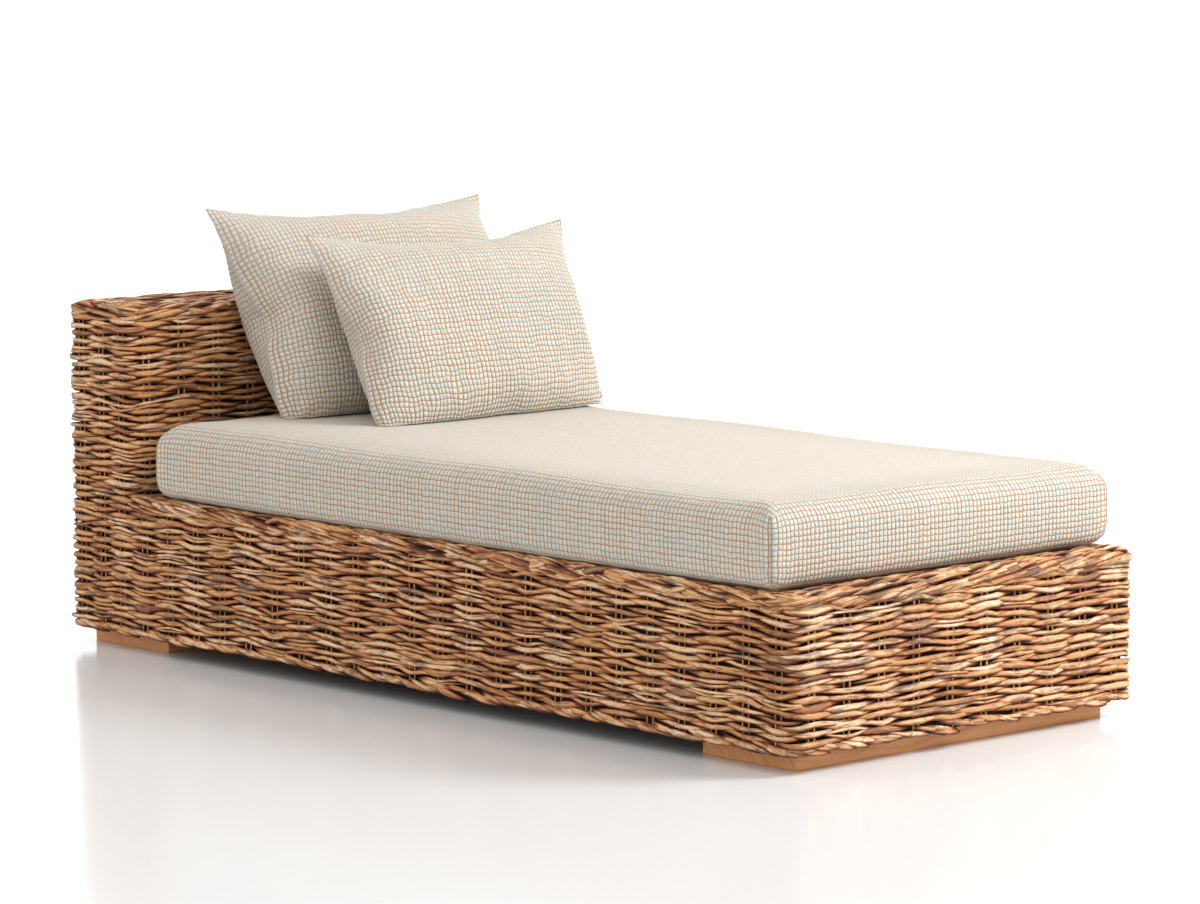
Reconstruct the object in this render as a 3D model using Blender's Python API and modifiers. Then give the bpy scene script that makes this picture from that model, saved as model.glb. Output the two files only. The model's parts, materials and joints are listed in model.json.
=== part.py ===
"""Woven rattan sun lounger: timber frame, cane skin, plinth boards, mattress and two pillows.

Frame: metres, +Z up, origin on the floor under the middle of the lounger.
+X points to the foot end, the headboard stands at -X, and left (+Y) and right (-Y)
are those of someone who lies on it.
"""

import math

import bmesh
import bpy
from mathutils import Matrix, Vector

OBJECT_NAME = "rattan_sun_lounger"

# Overall sizes, over the cane
LENGTH = 2.065
WIDTH = 0.900
RIM_HEIGHT = 0.311
HEADBOARD_HEIGHT = 0.690
HEADBOARD_DEPTH = 0.200

# Clearance between pieces that touch
GAP = 0.0003

# Cane skin: rows of split cane woven in front of and behind upright stakes
SKIN = 0.016
WEAVE_RELIEF = 0.006
ROW_PITCH = 0.0078
SIDE_STAKE_PITCH = 0.080
END_STAKE_PITCH = 0.092
CORNER_RADIUS = 0.032
CORNER_STEPS = 2
SKIRT_CLEARANCE = 0.036

# Plaited border round the deck and the rolled cap of the headboard
BORDER_WIDTH = 0.062
BORDER_STEPS = 6
BORDER_PITCH = 0.040
PLAIT_RELIEF = 0.004
CAP_THICKNESS = 0.034
CAP_CROWN = 0.012
CAP_ROUND = 0.020
CAP_SHOULDER = 0.050
CAP_FLAT = 0.085

# Plinth boards that stand on the floor
PLINTH_LENGTH = 0.237
PLINTH_HEIGHT = 0.062
PLINTH_SIDE_INSET = 0.046
PLINTH_FOOT_INSET = 0.039
PLINTH_HEAD_INSET = 0.021
PLINTH_ARRIS = 0.002

# Timber frame
POST = 0.060
POST_EASE = 0.004
RAIL = 0.045
BOTTOM_RAIL_HEIGHT = 0.060
DECK_RAIL_WIDTH = 0.085
DECK_RAIL_HEIGHT = 0.040
BEAM_HEIGHT = 0.070
STUD_SPACING = 0.640
SILL_LEDGE = 0.020
SLAT_COUNT = 12
SLAT_WIDTH = 0.090
SLAT_THICKNESS = 0.022
SLAT_END_CLEARANCE = 0.002
SLAT_MARGIN = 0.025
SLAT_ARRIS = 0.003

# Mattress: foam core in a fitted cover that is drawn under the edge
MATTRESS_THICKNESS = 0.162
MATTRESS_SIDE_INSET = 0.002
MATTRESS_FOOT_INSET = 0.060
MATTRESS_HEAD_CLEARANCE = 0.070
MATTRESS_CORNER = 0.050
MATTRESS_EDGE = 0.036
MATTRESS_CROWN = 0.008
MATTRESS_PULL = 0.006
MATTRESS_SIDE_PULL = 0.004
MATTRESS_SHOULDER = 0.090
MATTRESS_FLAT = 0.145
MATTRESS_HEM = 0.075

# Pillows: stuffed covers that lean one behind the other against the headboard
PILLOW_LEAN = math.radians(25.0)
PILLOW_SEAM = 0.006
PILLOW_PINCH = 0.055
PILLOW_FULLNESS = 2.2
PILLOW_STEPS_ACROSS = 12
PILLOW_STEPS_UP = 10
BACK_PILLOW_WIDTH = 0.675
BACK_PILLOW_HEIGHT = 0.455
BACK_PILLOW_THICKNESS = 0.245
BACK_PILLOW_OFFSET = 0.095
FRONT_PILLOW_WIDTH = 0.632
FRONT_PILLOW_HEIGHT = 0.412
FRONT_PILLOW_THICKNESS = 0.175
FRONT_PILLOW_OFFSET = 0.128

# Cloth and the room that a stuffing leaves inside it
CLOTH = 0.002
STUFFING_ROOM = 0.0006

# Derived levels and lines
HALF_X = LENGTH / 2
HALF_Y = WIDTH / 2
INNER = SKIN + GAP
DECK_Z = RIM_HEIGHT - SLAT_THICKNESS - GAP
BEARER_Z = PLINTH_HEIGHT + GAP
HEADBOARD_FRONT = -HALF_X + HEADBOARD_DEPTH
CAP_Z = HEADBOARD_HEIGHT - CAP_THICKNESS
HEAD_RAIL_TOP = CAP_Z - GAP
POST_ROUND = CORNER_RADIUS - SKIN + POST_EASE
MATTRESS_Z = RIM_HEIGHT + GAP
MATTRESS_TOP = MATTRESS_Z + MATTRESS_THICKNESS
MATTRESS_LENGTH = LENGTH - HEADBOARD_DEPTH - MATTRESS_HEAD_CLEARANCE - MATTRESS_FOOT_INSET
MATTRESS_WIDTH = WIDTH - 2 * MATTRESS_SIDE_INSET
MATTRESS_X = HALF_X - MATTRESS_FOOT_INSET - MATTRESS_LENGTH / 2


def clear_scene():
    """Start from an empty file."""
    for thing in list(bpy.data.objects):
        bpy.data.objects.remove(thing, do_unlink=True)
    for group in list(bpy.data.collections):
        bpy.data.collections.remove(group)


def finish(name, colour, roughness):
    """A plain material for one kind of piece."""
    material = bpy.data.materials.new(name)
    material.use_nodes = True
    shader = material.node_tree.nodes["Principled BSDF"]
    shader.inputs["Base Color"].default_value = (*colour, 1.0)
    shader.inputs["Roughness"].default_value = roughness
    shader.inputs["Metallic"].default_value = 0.0
    return material


def place(name, bm, material, location=(0, 0, 0), parent=None, smooth=False):
    """Turn a bmesh into a named piece of the lounger."""
    mesh = bpy.data.meshes.new(name)
    bmesh.ops.recalc_face_normals(bm, faces=bm.faces)
    if bm.calc_volume(signed=True) < 0:
        bmesh.ops.reverse_faces(bm, faces=bm.faces)
    bm.to_mesh(mesh)
    bm.free()
    if smooth:
        mesh.shade_smooth()
        mesh.set_sharp_from_angle(angle=math.radians(35))
    mesh.materials.append(material)
    piece = bpy.data.objects.new(name, mesh)
    piece.location = location
    piece.parent = parent
    PARTS.objects.link(piece)
    return piece


def timber(name, low, high, material, rounded=None, arris=0.0):
    """A straight length of timber between two corners, with one upright edge rounded if asked."""
    low = Vector(low)
    high = Vector(high)
    size = high - low
    bm = bmesh.new()
    bmesh.ops.create_cube(bm, size=1.0, matrix=Matrix.Diagonal((*size, 1.0)))
    if rounded:
        side = Vector((rounded[0] * size.x / 2, rounded[1] * size.y / 2, 0))
        edge = [e for e in bm.edges if ((e.verts[0].co + e.verts[1].co) / 2 - side).length < 1e-6]
        bmesh.ops.bevel(bm, geom=edge, offset=POST_ROUND, segments=3, profile=0.5, affect="EDGES")
    piece = place(name, bm, material, location=(low + high) / 2)
    if arris:
        ease = piece.modifiers.new("eased_edges", "BEVEL")
        ease.width = arris
        ease.segments = 1
    return piece


def surface(columns, rows, where):
    """A grid of quads whose crossing (column, row) lies at where(column, row)."""
    bm = bmesh.new()
    bmesh.ops.create_grid(bm, x_segments=columns, y_segments=rows, size=0.5)
    for v in bm.verts:
        v.co = where(round((v.co.x + 0.5) * columns), round((v.co.y + 0.5) * rows))
    return bm


def close_ends(bm):
    """Fill the open ends of a tube of quads with flat caps."""
    bmesh.ops.holes_fill(bm, edges=[e for e in bm.edges if e.is_boundary], sides=0)


def wall_stations(start, along, out, run):
    """Plan points and normals of a woven wall: half a corner, a straight run, half a corner."""
    turn = math.pi / 4 - GAP / 2 / (CORNER_RADIUS - SKIN)
    bays = max(1, round(run / (SIDE_STAKE_PITCH if along.x else END_STAKE_PITCH)))
    stations = []

    def corner(foot, angle):
        normal = out * math.cos(angle) + along * math.sin(angle)
        stations.append((foot + (normal - out) * CORNER_RADIUS, normal, True))

    for step in range(CORNER_STEPS, 0, -1):
        corner(start, -turn * step / CORNER_STEPS)
    for bay in range(bays + 1):
        stations.append((start + along * (run * bay / bays), out, False))
    for step in range(1, CORNER_STEPS + 1):
        corner(start + along * run, turn * step / CORNER_STEPS)
    return stations


def woven_wall(name, start, along, out, run, low, high, material):
    """One side of the cane skin: each row passes in front of one stake and behind the next."""
    stations = wall_stations(Vector((*start, 0)), Vector((*along, 0)), Vector((*out, 0)), run)
    columns = len(stations) - 1
    rows = max(2, round((high - low) / ROW_PITCH))
    pitch = (high - low) / rows
    levels = [low] + [low + pitch * (row + 0.5) for row in range(rows)] + [high]

    def strand(column, line):
        point, normal, on_corner = stations[column]
        on_edge = line in (0, rows + 1)
        behind = 0.5 if on_corner or on_edge else (column + line) % 2
        return point - normal * (WEAVE_RELIEF * behind) + Vector((0, 0, levels[line]))

    def nearest(v):
        flat = Vector((v.co.x, v.co.y, 0))
        point, normal, _ = min(stations, key=lambda station: (flat - station[0]).length)
        return point, normal, (point - flat).dot(normal)

    bm = surface(columns, len(levels) - 1, strand)
    hollows = [v for v in bm.verts if nearest(v)[2] > 0.9 * WEAVE_RELIEF]
    bmesh.ops.connect_verts(bm, verts=hollows)
    rims = [e for e in bm.edges if abs(e.verts[0].co.z - e.verts[1].co.z) < 1e-7 and e.is_boundary]
    back = bmesh.ops.extrude_edge_only(bm, edges=rims)["geom"]
    for v in (g for g in back if isinstance(g, bmesh.types.BMVert)):
        point, normal, _ = nearest(v)
        v.co = point - normal * SKIN + Vector((0, 0, v.co.z))
    bmesh.ops.bridge_loops(bm, edges=[g for g in back if isinstance(g, bmesh.types.BMEdge)])
    close_ends(bm)
    return place(name, bm, material)


def border_end(depth, share, corner):
    """Where the border's line at a depth from its outer edge runs, over the last stretch to a mitre."""
    begin = corner - BORDER_WIDTH - CORNER_RADIUS
    if depth >= CORNER_RADIUS:
        return begin + (corner - depth - begin) * share, depth
    straight = BORDER_WIDTH
    radius = CORNER_RADIUS - depth
    travel = share * (straight + radius * math.pi / 4)
    if travel <= straight:
        return begin + travel, depth
    angle = (travel - straight) / radius
    return corner - CORNER_RADIUS + radius * math.sin(angle), CORNER_RADIUS - radius * math.cos(angle)


def plaited_border(name, from_end, corner, place_point, material, mitred_start=False):
    """A plump plaited border along one edge of the deck, mitred where it meets the next one."""
    corner -= GAP
    end_steps = 3
    begin = corner - BORDER_WIDTH - CORNER_RADIUS
    first = -begin if mitred_start else from_end
    count = max(2, round((begin - first) / BORDER_PITCH))
    lines = [("end", -k / end_steps) for k in range(end_steps, 0, -1)] if mitred_start else []
    lines += [("run", first + (begin - first) * k / count) for k in range(count + 1)]
    lines += [("end", k / end_steps) for k in range(1, end_steps + 1)]

    def ring(column, row):
        angle = math.pi * min(column, BORDER_STEPS) / BORDER_STEPS
        if column > BORDER_STEPS:
            angle = 0.0
        depth = BORDER_WIDTH * (1 - math.cos(angle)) / 2
        lump = PLAIT_RELIEF * ((column + row) % 2) if 0 < column < BORDER_STEPS else 0.0
        rise = max(0.0, (SLAT_THICKNESS * math.sin(angle) ** 0.55) - lump)
        kind, value = lines[row]
        if kind == "run":
            along = value
        else:
            along, depth = border_end(depth, abs(value), corner)
            along = math.copysign(along, value)
        return place_point(along, depth) + Vector((0, 0, DECK_Z + GAP + rise))

    bm = surface(BORDER_STEPS + 1, len(lines) - 1, ring)
    bmesh.ops.remove_doubles(bm, verts=bm.verts, dist=1e-6)
    close_ends(bm)
    return place(name, bm, material)


def outline(half_x, half_y, radius, counts, pull=0.0):
    """A rounded rectangle, anticlockwise, whose sides are drawn in between the corners by pull."""
    on_x, on_y, on_corner = counts
    sides = [((1, 0), half_x, half_y, on_y), ((0, 1), half_y, half_x, on_x),
             ((-1, 0), half_x, half_y, on_y), ((0, -1), half_y, half_x, on_x)]
    points = []
    for (nx, ny), reach, half, count in sides:
        along = Vector((-ny, nx))
        normal = Vector((nx, ny))
        for k in range(count):
            m = -1 + 2 * k / count
            points.append(normal * (reach - pull * (1 - m * m)) + along * (m * (half - radius)))
        centre = normal * (reach - radius) + along * (half - radius)
        for k in range(on_corner):
            angle = math.pi / 2 * k / on_corner
            points.append(centre + (normal * math.cos(angle) + along * math.sin(angle)) * radius)
    return points


def ringed(rings, columns):
    """A tube of quads through a list of rings, each a list of points of the same count."""
    bm = surface(columns, len(rings) - 1, lambda column, row: rings[row][column % columns])
    bmesh.ops.remove_doubles(bm, verts=bm.verts, dist=1e-6)
    return bm


def headboard_cap(name, material):
    """The rolled top of the headboard: rounded edges, a low crown, strands over and under."""
    counts = (3, 12, 3)
    columns = 2 * (counts[0] + counts[1]) + 4 * counts[2]
    edge_z = HEADBOARD_HEIGHT - CAP_CROWN
    lean = math.sin(math.pi / 4)
    levels = [(0.0, CAP_Z), (0.0, edge_z - CAP_ROUND),
              (CAP_ROUND * (1 - lean), edge_z - CAP_ROUND * (1 - lean)), (CAP_ROUND, edge_z),
              (CAP_SHOULDER, edge_z + 0.7 * CAP_CROWN), (CAP_FLAT, HEADBOARD_HEIGHT)]
    middle = HEADBOARD_FRONT - HEADBOARD_DEPTH / 2
    rings = []
    for row, (inset, level) in enumerate(levels):
        radius = max(CORNER_RADIUS - inset, 0.006)
        plan = outline(HEADBOARD_DEPTH / 2 - inset, HALF_Y - inset, radius, counts)
        woven = 1 < row < len(levels) - 1
        rings.append([Vector((middle + p.x, p.y, level - (PLAIT_RELIEF * (k % 2) if woven else 0)))
                      for k, p in enumerate(plan)])
    bm = ringed(rings, columns)
    close_ends(bm)
    return place(name, bm, material)


def mattress_rings(inset, hem):
    """Rings of the mattress from its underside to its crown, drawn in by inset all round."""
    counts = (10, 5, 3)
    columns = 2 * (counts[0] + counts[1]) + 4 * counts[2]
    low = inset
    edge = MATTRESS_THICKNESS - MATTRESS_CROWN - inset
    high = MATTRESS_THICKNESS - inset
    lean = math.sin(math.pi / 4)
    levels = [(hem, low)] if hem else []
    levels += [(MATTRESS_EDGE, low), (MATTRESS_EDGE * (1 - lean), low + MATTRESS_EDGE * (1 - lean)),
               (0.0, low + MATTRESS_EDGE), (MATTRESS_SIDE_PULL, (low + edge) / 2),
               (0.0, edge - MATTRESS_EDGE),
               (MATTRESS_EDGE * (1 - lean), edge - MATTRESS_EDGE * (1 - lean)), (MATTRESS_EDGE, edge),
               (MATTRESS_SHOULDER, edge + 0.65 * MATTRESS_CROWN), (MATTRESS_FLAT, high)]
    rings = []
    for drawn, level in levels:
        radius = max(MATTRESS_CORNER - drawn, 0.008)
        plan = outline(MATTRESS_LENGTH / 2 - inset - drawn, MATTRESS_WIDTH / 2 - inset - drawn,
                       radius, counts, MATTRESS_PULL)
        rings.append([Vector((p.x, p.y, level)) for p in plan])
    return rings, columns


def mattress(seat, cloth, foam):
    """The fitted cover, open beneath inside its hem, and the foam core that fills it."""
    rings, columns = mattress_rings(0.0, MATTRESS_HEM)
    bm = ringed(rings, columns)
    top = [e for e in bm.edges if e.is_boundary and e.verts[0].co.z > MATTRESS_THICKNESS / 2]
    bmesh.ops.holes_fill(bm, edges=top, sides=0)
    cover = place("mattress_cover", bm, cloth, parent=seat, smooth=True)
    add_cloth(cover)
    rings, columns = mattress_rings(CLOTH + STUFFING_ROOM, 0.0)
    bm = ringed(rings, columns)
    close_ends(bm)
    place("mattress_core", bm, foam, parent=seat, smooth=True)


def add_cloth(cover):
    """Give an open cover the thickness of its cloth, on the inside."""
    weave = cover.modifiers.new("cloth", "SOLIDIFY")
    weave.thickness = CLOTH
    weave.offset = -1.0
    weave.use_even_offset = False


class Pillow:
    """A stuffed pillow: width across the lounger, height up the lean, thickness at its middle."""

    def __init__(self, width, height, thickness, seam=PILLOW_SEAM):
        self.width = width
        self.height = height
        self.thickness = thickness
        self.seam = seam

    def half(self, u, v):
        """Half thickness at the fractions u and v of the half width and half height."""
        across = max(0.0, 1 - abs(u) ** PILLOW_FULLNESS)
        upward = max(0.0, 1 - abs(v) ** PILLOW_FULLNESS)
        return self.seam + (self.thickness / 2 - self.seam) * math.sqrt(across * upward)

    def spot(self, u, v):
        """Where (u, v) lies across and up: sides and top are drawn in, the foot is straight."""
        across = u * self.width / 2 * (1 - PILLOW_PINCH * (1 - v * v))
        drawn = PILLOW_PINCH * (1 - u * u) if v > 0 else 0.0
        return across, v * self.height / 2 * (1 - drawn)

    def half_at(self, across, upward):
        """Half thickness at a place given in metres from the middle, 0 outside the pillow."""
        u = across / (self.width / 2)
        v = upward / (self.height / 2)
        for _ in range(4):
            here = self.spot(u, v)
            u += (across - here[0]) / (self.width / 2)
            v += (upward - here[1]) / (self.height / 2)
        return self.half(u, v) if max(abs(u), abs(v)) <= 1 else 0.0

    def skin(self, open_foot):
        """Front and back of the pillow as one sheet, folded at the top, with its seam in the middle."""
        us = [-1 + 2 * k / PILLOW_STEPS_ACROSS for k in range(PILLOW_STEPS_ACROSS + 1)]
        vs = [-1 + 2 * k / PILLOW_STEPS_UP for k in range(PILLOW_STEPS_UP + 1)]
        lines = [(v, 1) for v in vs] + [(1.0, 0)] + [(v, -1) for v in reversed(vs)]
        if not open_foot:
            lines = [(-1.0, 0)] + lines + [(-1.0, 0)]
        ends = [-1.0] + us + [1.0]

        def point(column, row):
            u = ends[column]
            v, face = lines[row]
            on_seam = face == 0 or column in (0, len(ends) - 1)
            across, upward = self.spot(u, v)
            if column in (0, len(ends) - 1):
                across += math.copysign(self.seam, u)
            if face == 0:
                upward += math.copysign(self.seam, v)
            depth = 0.0 if on_seam else face * self.half(u, v)
            return Vector((depth, across, upward))

        bm = surface(len(ends) - 1, len(lines) - 1, point)
        bmesh.ops.remove_doubles(bm, verts=bm.verts, dist=1e-6)
        return bm

    def inset(self, by):
        """The stuffing of this pillow, smaller by a distance all round."""
        return Pillow(self.width - 4 * by, self.height - 4 * by, self.thickness - 2 * by, self.seam / 2)

    def lowest(self):
        """How far the leaning pillow reaches below its own middle."""
        up, out = math.cos(PILLOW_LEAN), math.sin(PILLOW_LEAN)
        vs = [-1 + 2 * k / PILLOW_STEPS_UP for k in range(PILLOW_STEPS_UP + 1)]
        return max(-self.spot(0, v)[1] * up + self.half(0, v) * out for v in vs)


def lean_on_headboard(pillow):
    """Where the back pillow's middle comes to rest against the headboard's rolled edge."""
    level = MATTRESS_TOP + GAP + pillow.lowest()
    edge_z = HEADBOARD_HEIGHT - CAP_CROWN
    edge = []
    for k in range(13):
        angle = math.pi / 2 * k / 12
        edge.append((HEADBOARD_FRONT - CAP_ROUND * (1 - math.cos(angle)),
                     edge_z - CAP_ROUND * (1 - math.sin(angle))))
    edge.append((HEADBOARD_FRONT - CAP_SHOULDER, HEADBOARD_HEIGHT - 0.3 * CAP_CROWN))
    edge.append((HEADBOARD_FRONT - CAP_FLAT, HEADBOARD_HEIGHT))
    near, clear = HEADBOARD_FRONT, HEADBOARD_FRONT + HEADBOARD_DEPTH + pillow.height
    for _ in range(50):
        middle = (near + clear) / 2
        room = 1.0
        for x, z in edge:
            back = -(x - middle) * math.cos(PILLOW_LEAN) - (z - level) * math.sin(PILLOW_LEAN)
            upward = -(x - middle) * math.sin(PILLOW_LEAN) + (z - level) * math.cos(PILLOW_LEAN)
            room = min(room, back - pillow.half_at(0.0, upward))
        if room > GAP:
            clear = middle
        else:
            near = middle
    return Vector((clear, BACK_PILLOW_OFFSET, level))


def lean_on_pillow(front, back, back_middle):
    """Where the front pillow's middle comes to rest against the back pillow."""
    level = MATTRESS_TOP + GAP + front.lowest()
    sideways = FRONT_PILLOW_OFFSET - BACK_PILLOW_OFFSET
    spacing = (front.thickness + back.thickness) / 2
    for _ in range(12):
        shift = (level - back_middle.z - spacing * math.sin(PILLOW_LEAN)) / math.cos(PILLOW_LEAN)
        spacing = GAP + max(
            front.half_at(0.01 * i, 0.01 * j) + back.half_at(0.01 * i + sideways, 0.01 * j + shift)
            for i in range(-12, 13) for j in range(-18, 19))
    x = back_middle.x + spacing * math.cos(PILLOW_LEAN) - shift * math.sin(PILLOW_LEAN)
    return Vector((x, FRONT_PILLOW_OFFSET, level))


def seat(name, location, lean=0.0):
    """An empty that carries a loose cushion at its place of rest."""
    holder = bpy.data.objects.new(name, None)
    holder.empty_display_size = 0.1
    holder.location = location
    holder.rotation_euler = (0, -lean, 0)
    PARTS.objects.link(holder)
    return holder


def stuffed_pillow(name, pillow, middle, cloth, stuffing):
    """One pillow: its cover, open along the foot where the flap tucks in, and its stuffing."""
    holder = seat(name + "_seat", middle, PILLOW_LEAN)
    cover = place(name + "_cover", pillow.skin(True), cloth, parent=holder, smooth=True)
    add_cloth(cover)
    core = pillow.inset(CLOTH + STUFFING_ROOM)
    place(name + "_stuffing", core.skin(False), stuffing, parent=holder, smooth=True)


def plinths(material):
    """The two boards across the underside that the lounger stands on."""
    y = HALF_Y - PLINTH_SIDE_INSET
    foot = HALF_X - PLINTH_FOOT_INSET
    head = -HALF_X + PLINTH_HEAD_INSET
    timber("foot_plinth", (foot - PLINTH_LENGTH, -y, 0), (foot, y, PLINTH_HEIGHT), material,
           arris=PLINTH_ARRIS)
    timber("head_plinth", (head, -y, 0), (head + PLINTH_LENGTH, y, PLINTH_HEIGHT), material,
           arris=PLINTH_ARRIS)


def side_frame(side, name, material):
    """Posts, rails and studs of one long side; side is +1 for left and -1 for right."""
    face = side * (HALF_Y - INNER)

    def piece(label, x_low, x_high, depth, z_low, z_high, rounded=None):
        inner = face - side * depth
        timber(f"{name}_{label}", (x_low, min(face, inner), z_low), (x_high, max(face, inner), z_high),
               material, rounded)

    head, foot = -HALF_X + INNER, HALF_X - INNER
    rail_head, rail_foot = head + POST + GAP, foot - POST - GAP
    front = HEADBOARD_FRONT - INNER
    bottom_top = BEARER_Z + BOTTOM_RAIL_HEIGHT
    piece("foot_post", foot - POST, foot, POST, BEARER_Z, DECK_Z, (1, side))
    piece("head_post", head, head + POST, POST, BEARER_Z, HEAD_RAIL_TOP, (-1, side))
    piece("headboard_post", front - RAIL, front, POST, DECK_Z + GAP, HEAD_RAIL_TOP, (1, side))
    piece("headboard_cheek_rail", rail_head, front - RAIL - GAP, RAIL, HEAD_RAIL_TOP - RAIL,
          HEAD_RAIL_TOP)
    piece("bottom_rail", rail_head, rail_foot, RAIL, BEARER_Z, bottom_top)
    piece("deck_rail", rail_head, rail_foot, DECK_RAIL_WIDTH, DECK_Z - DECK_RAIL_HEIGHT, DECK_Z)
    for label, middle in (("head_stud", -STUD_SPACING / 2), ("foot_stud", STUD_SPACING / 2)):
        piece(label, middle - RAIL / 2, middle + RAIL / 2, RAIL, bottom_top + GAP,
              DECK_Z - DECK_RAIL_HEIGHT - GAP)


def cross_frame(material):
    """Rails across both ends, the headboard's rails and studs, the sill and the middle beam."""
    y = HALF_Y - INNER - POST - GAP
    head, foot = -HALF_X + INNER, HALF_X - INNER
    front = HEADBOARD_FRONT - INNER
    bottom_top = BEARER_Z + BOTTOM_RAIL_HEIGHT
    deck_low = DECK_Z - DECK_RAIL_HEIGHT
    rail_low = HEAD_RAIL_TOP - RAIL
    sill_y = HALF_Y - INNER - DECK_RAIL_WIDTH - GAP
    sill_front = HEADBOARD_FRONT + SILL_LEDGE
    timber("foot_bottom_rail", (foot - RAIL, -y, BEARER_Z), (foot, y, bottom_top), material)
    timber("head_bottom_rail", (head, -y, BEARER_Z), (head + RAIL, y, bottom_top), material)
    timber("foot_deck_rail", (foot - POST, -y, deck_low), (foot, y, DECK_Z), material)
    timber("head_deck_rail", (head, -y, deck_low), (head + RAIL, y, DECK_Z), material)
    timber("headboard_back_rail", (head, -y, rail_low), (head + RAIL, y, HEAD_RAIL_TOP), material)
    timber("headboard_front_rail", (front - RAIL, -y, rail_low), (front, y, HEAD_RAIL_TOP), material)
    timber("headboard_sill", (front - RAIL, -sill_y, deck_low), (sill_front, sill_y, DECK_Z), material)
    timber("headboard_front_stud", (front - RAIL, -RAIL / 2, DECK_Z + GAP),
           (front, RAIL / 2, rail_low - GAP), material)
    timber("headboard_back_stud", (head, -RAIL / 2, DECK_Z + GAP),
           (head + RAIL, RAIL / 2, rail_low - GAP), material)
    timber("middle_beam", (sill_front + GAP, -RAIL / 2, DECK_Z - BEAM_HEIGHT),
           (foot - POST - GAP, RAIL / 2, DECK_Z), material)


def slats(material):
    """The slats that carry the mattress, level with the plaited border."""
    y = HALF_Y - BORDER_WIDTH - SLAT_END_CLEARANCE
    first = HEADBOARD_FRONT + SLAT_MARGIN + SLAT_WIDTH / 2
    last = HALF_X - BORDER_WIDTH - SLAT_MARGIN - SLAT_WIDTH / 2
    for k in range(SLAT_COUNT):
        x = first + (last - first) * k / (SLAT_COUNT - 1)
        timber(f"slat_{k + 1:02d}", (x - SLAT_WIDTH / 2, -y, DECK_Z + GAP),
               (x + SLAT_WIDTH / 2, y, DECK_Z + GAP + SLAT_THICKNESS), material, arris=SLAT_ARRIS)


def cane(skin, edge):
    """The woven skin, its plaited border and the rolled cap of the headboard."""
    r = CORNER_RADIUS
    long_run = LENGTH - 2 * r
    short_run = WIDTH - 2 * r
    cheek_run = HEADBOARD_DEPTH - 2 * r
    upper = DECK_Z + GAP
    woven_wall("right_side_weave", (-HALF_X + r, -HALF_Y), (1, 0), (0, -1), long_run,
               SKIRT_CLEARANCE, DECK_Z, skin)
    woven_wall("left_side_weave", (HALF_X - r, HALF_Y), (-1, 0), (0, 1), long_run,
               SKIRT_CLEARANCE, DECK_Z, skin)
    woven_wall("foot_end_weave", (HALF_X, -HALF_Y + r), (0, 1), (1, 0), short_run,
               SKIRT_CLEARANCE, DECK_Z, skin)
    woven_wall("head_back_weave", (-HALF_X, HALF_Y - r), (0, -1), (-1, 0), short_run,
               SKIRT_CLEARANCE, HEAD_RAIL_TOP, skin)
    woven_wall("headboard_front_weave", (HEADBOARD_FRONT, -HALF_Y + r), (0, 1), (1, 0), short_run,
               upper, HEAD_RAIL_TOP, skin)
    woven_wall("headboard_right_cheek_weave", (-HALF_X + r, -HALF_Y), (1, 0), (0, -1), cheek_run,
               upper, HEAD_RAIL_TOP, skin)
    woven_wall("headboard_left_cheek_weave", (HEADBOARD_FRONT - r, HALF_Y), (-1, 0), (0, 1), cheek_run,
               upper, HEAD_RAIL_TOP, skin)
    headboard_cap("headboard_cap", edge)
    begin = HEADBOARD_FRONT + GAP
    plaited_border("right_border", begin, HALF_X, lambda s, d: Vector((s, -HALF_Y + d, 0)), edge)
    plaited_border("left_border", begin, HALF_X, lambda s, d: Vector((s, HALF_Y - d, 0)), edge)
    plaited_border("foot_border", 0.0, HALF_Y, lambda s, d: Vector((HALF_X - d, s, 0)), edge, True)


def build():
    """Build the lounger from the floor up."""
    plinth_wood = finish("honey_wood", (0.58, 0.30, 0.12), 0.5)
    frame_wood = finish("frame_timber", (0.46, 0.31, 0.18), 0.7)
    split_cane = finish("split_cane", (0.36, 0.20, 0.08), 0.55)
    edge_cane = finish("plaited_cane", (0.40, 0.22, 0.09), 0.55)
    cloth = finish("check_cloth", (0.78, 0.72, 0.62), 0.9)
    foam = finish("foam", (0.86, 0.82, 0.68), 0.95)
    fibre = finish("fibre_fill", (0.90, 0.90, 0.88), 0.95)

    plinths(plinth_wood)
    side_frame(-1, "right", frame_wood)
    side_frame(1, "left", frame_wood)
    cross_frame(frame_wood)
    slats(frame_wood)
    cane(split_cane, edge_cane)

    mattress(seat("mattress_seat", (MATTRESS_X, 0, MATTRESS_Z)), cloth, foam)
    back = Pillow(BACK_PILLOW_WIDTH, BACK_PILLOW_HEIGHT, BACK_PILLOW_THICKNESS)
    front = Pillow(FRONT_PILLOW_WIDTH, FRONT_PILLOW_HEIGHT, FRONT_PILLOW_THICKNESS)
    back_middle = lean_on_headboard(back)
    front_middle = lean_on_pillow(front, back, back_middle)
    stuffed_pillow("back_pillow", back, back_middle, cloth, fibre)
    stuffed_pillow("front_pillow", front, front_middle, cloth, fibre)
    print("back pillow middle", tuple(round(c, 4) for c in back_middle))
    print("front pillow middle", tuple(round(c, 4) for c in front_middle))


clear_scene()
PARTS = bpy.data.collections.new(OBJECT_NAME)
bpy.context.scene.collection.children.link(PARTS)
build()
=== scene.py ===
"""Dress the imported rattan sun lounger: woven cane, wood, a check mattress and two pillows.

Frame: metres, +Z up, origin on the floor under the middle of the lounger. +X points to the
foot end, the headboard stands at -X, and right (-Y) and left (+Y) are those of someone who
lies on it.
"""

import json
import logging
import math
from dataclasses import dataclass, field
from enum import Enum

import bmesh
import bpy
import numpy as np
from mathutils import Matrix, Vector
from mathutils.bvhtree import BVHTree


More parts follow.
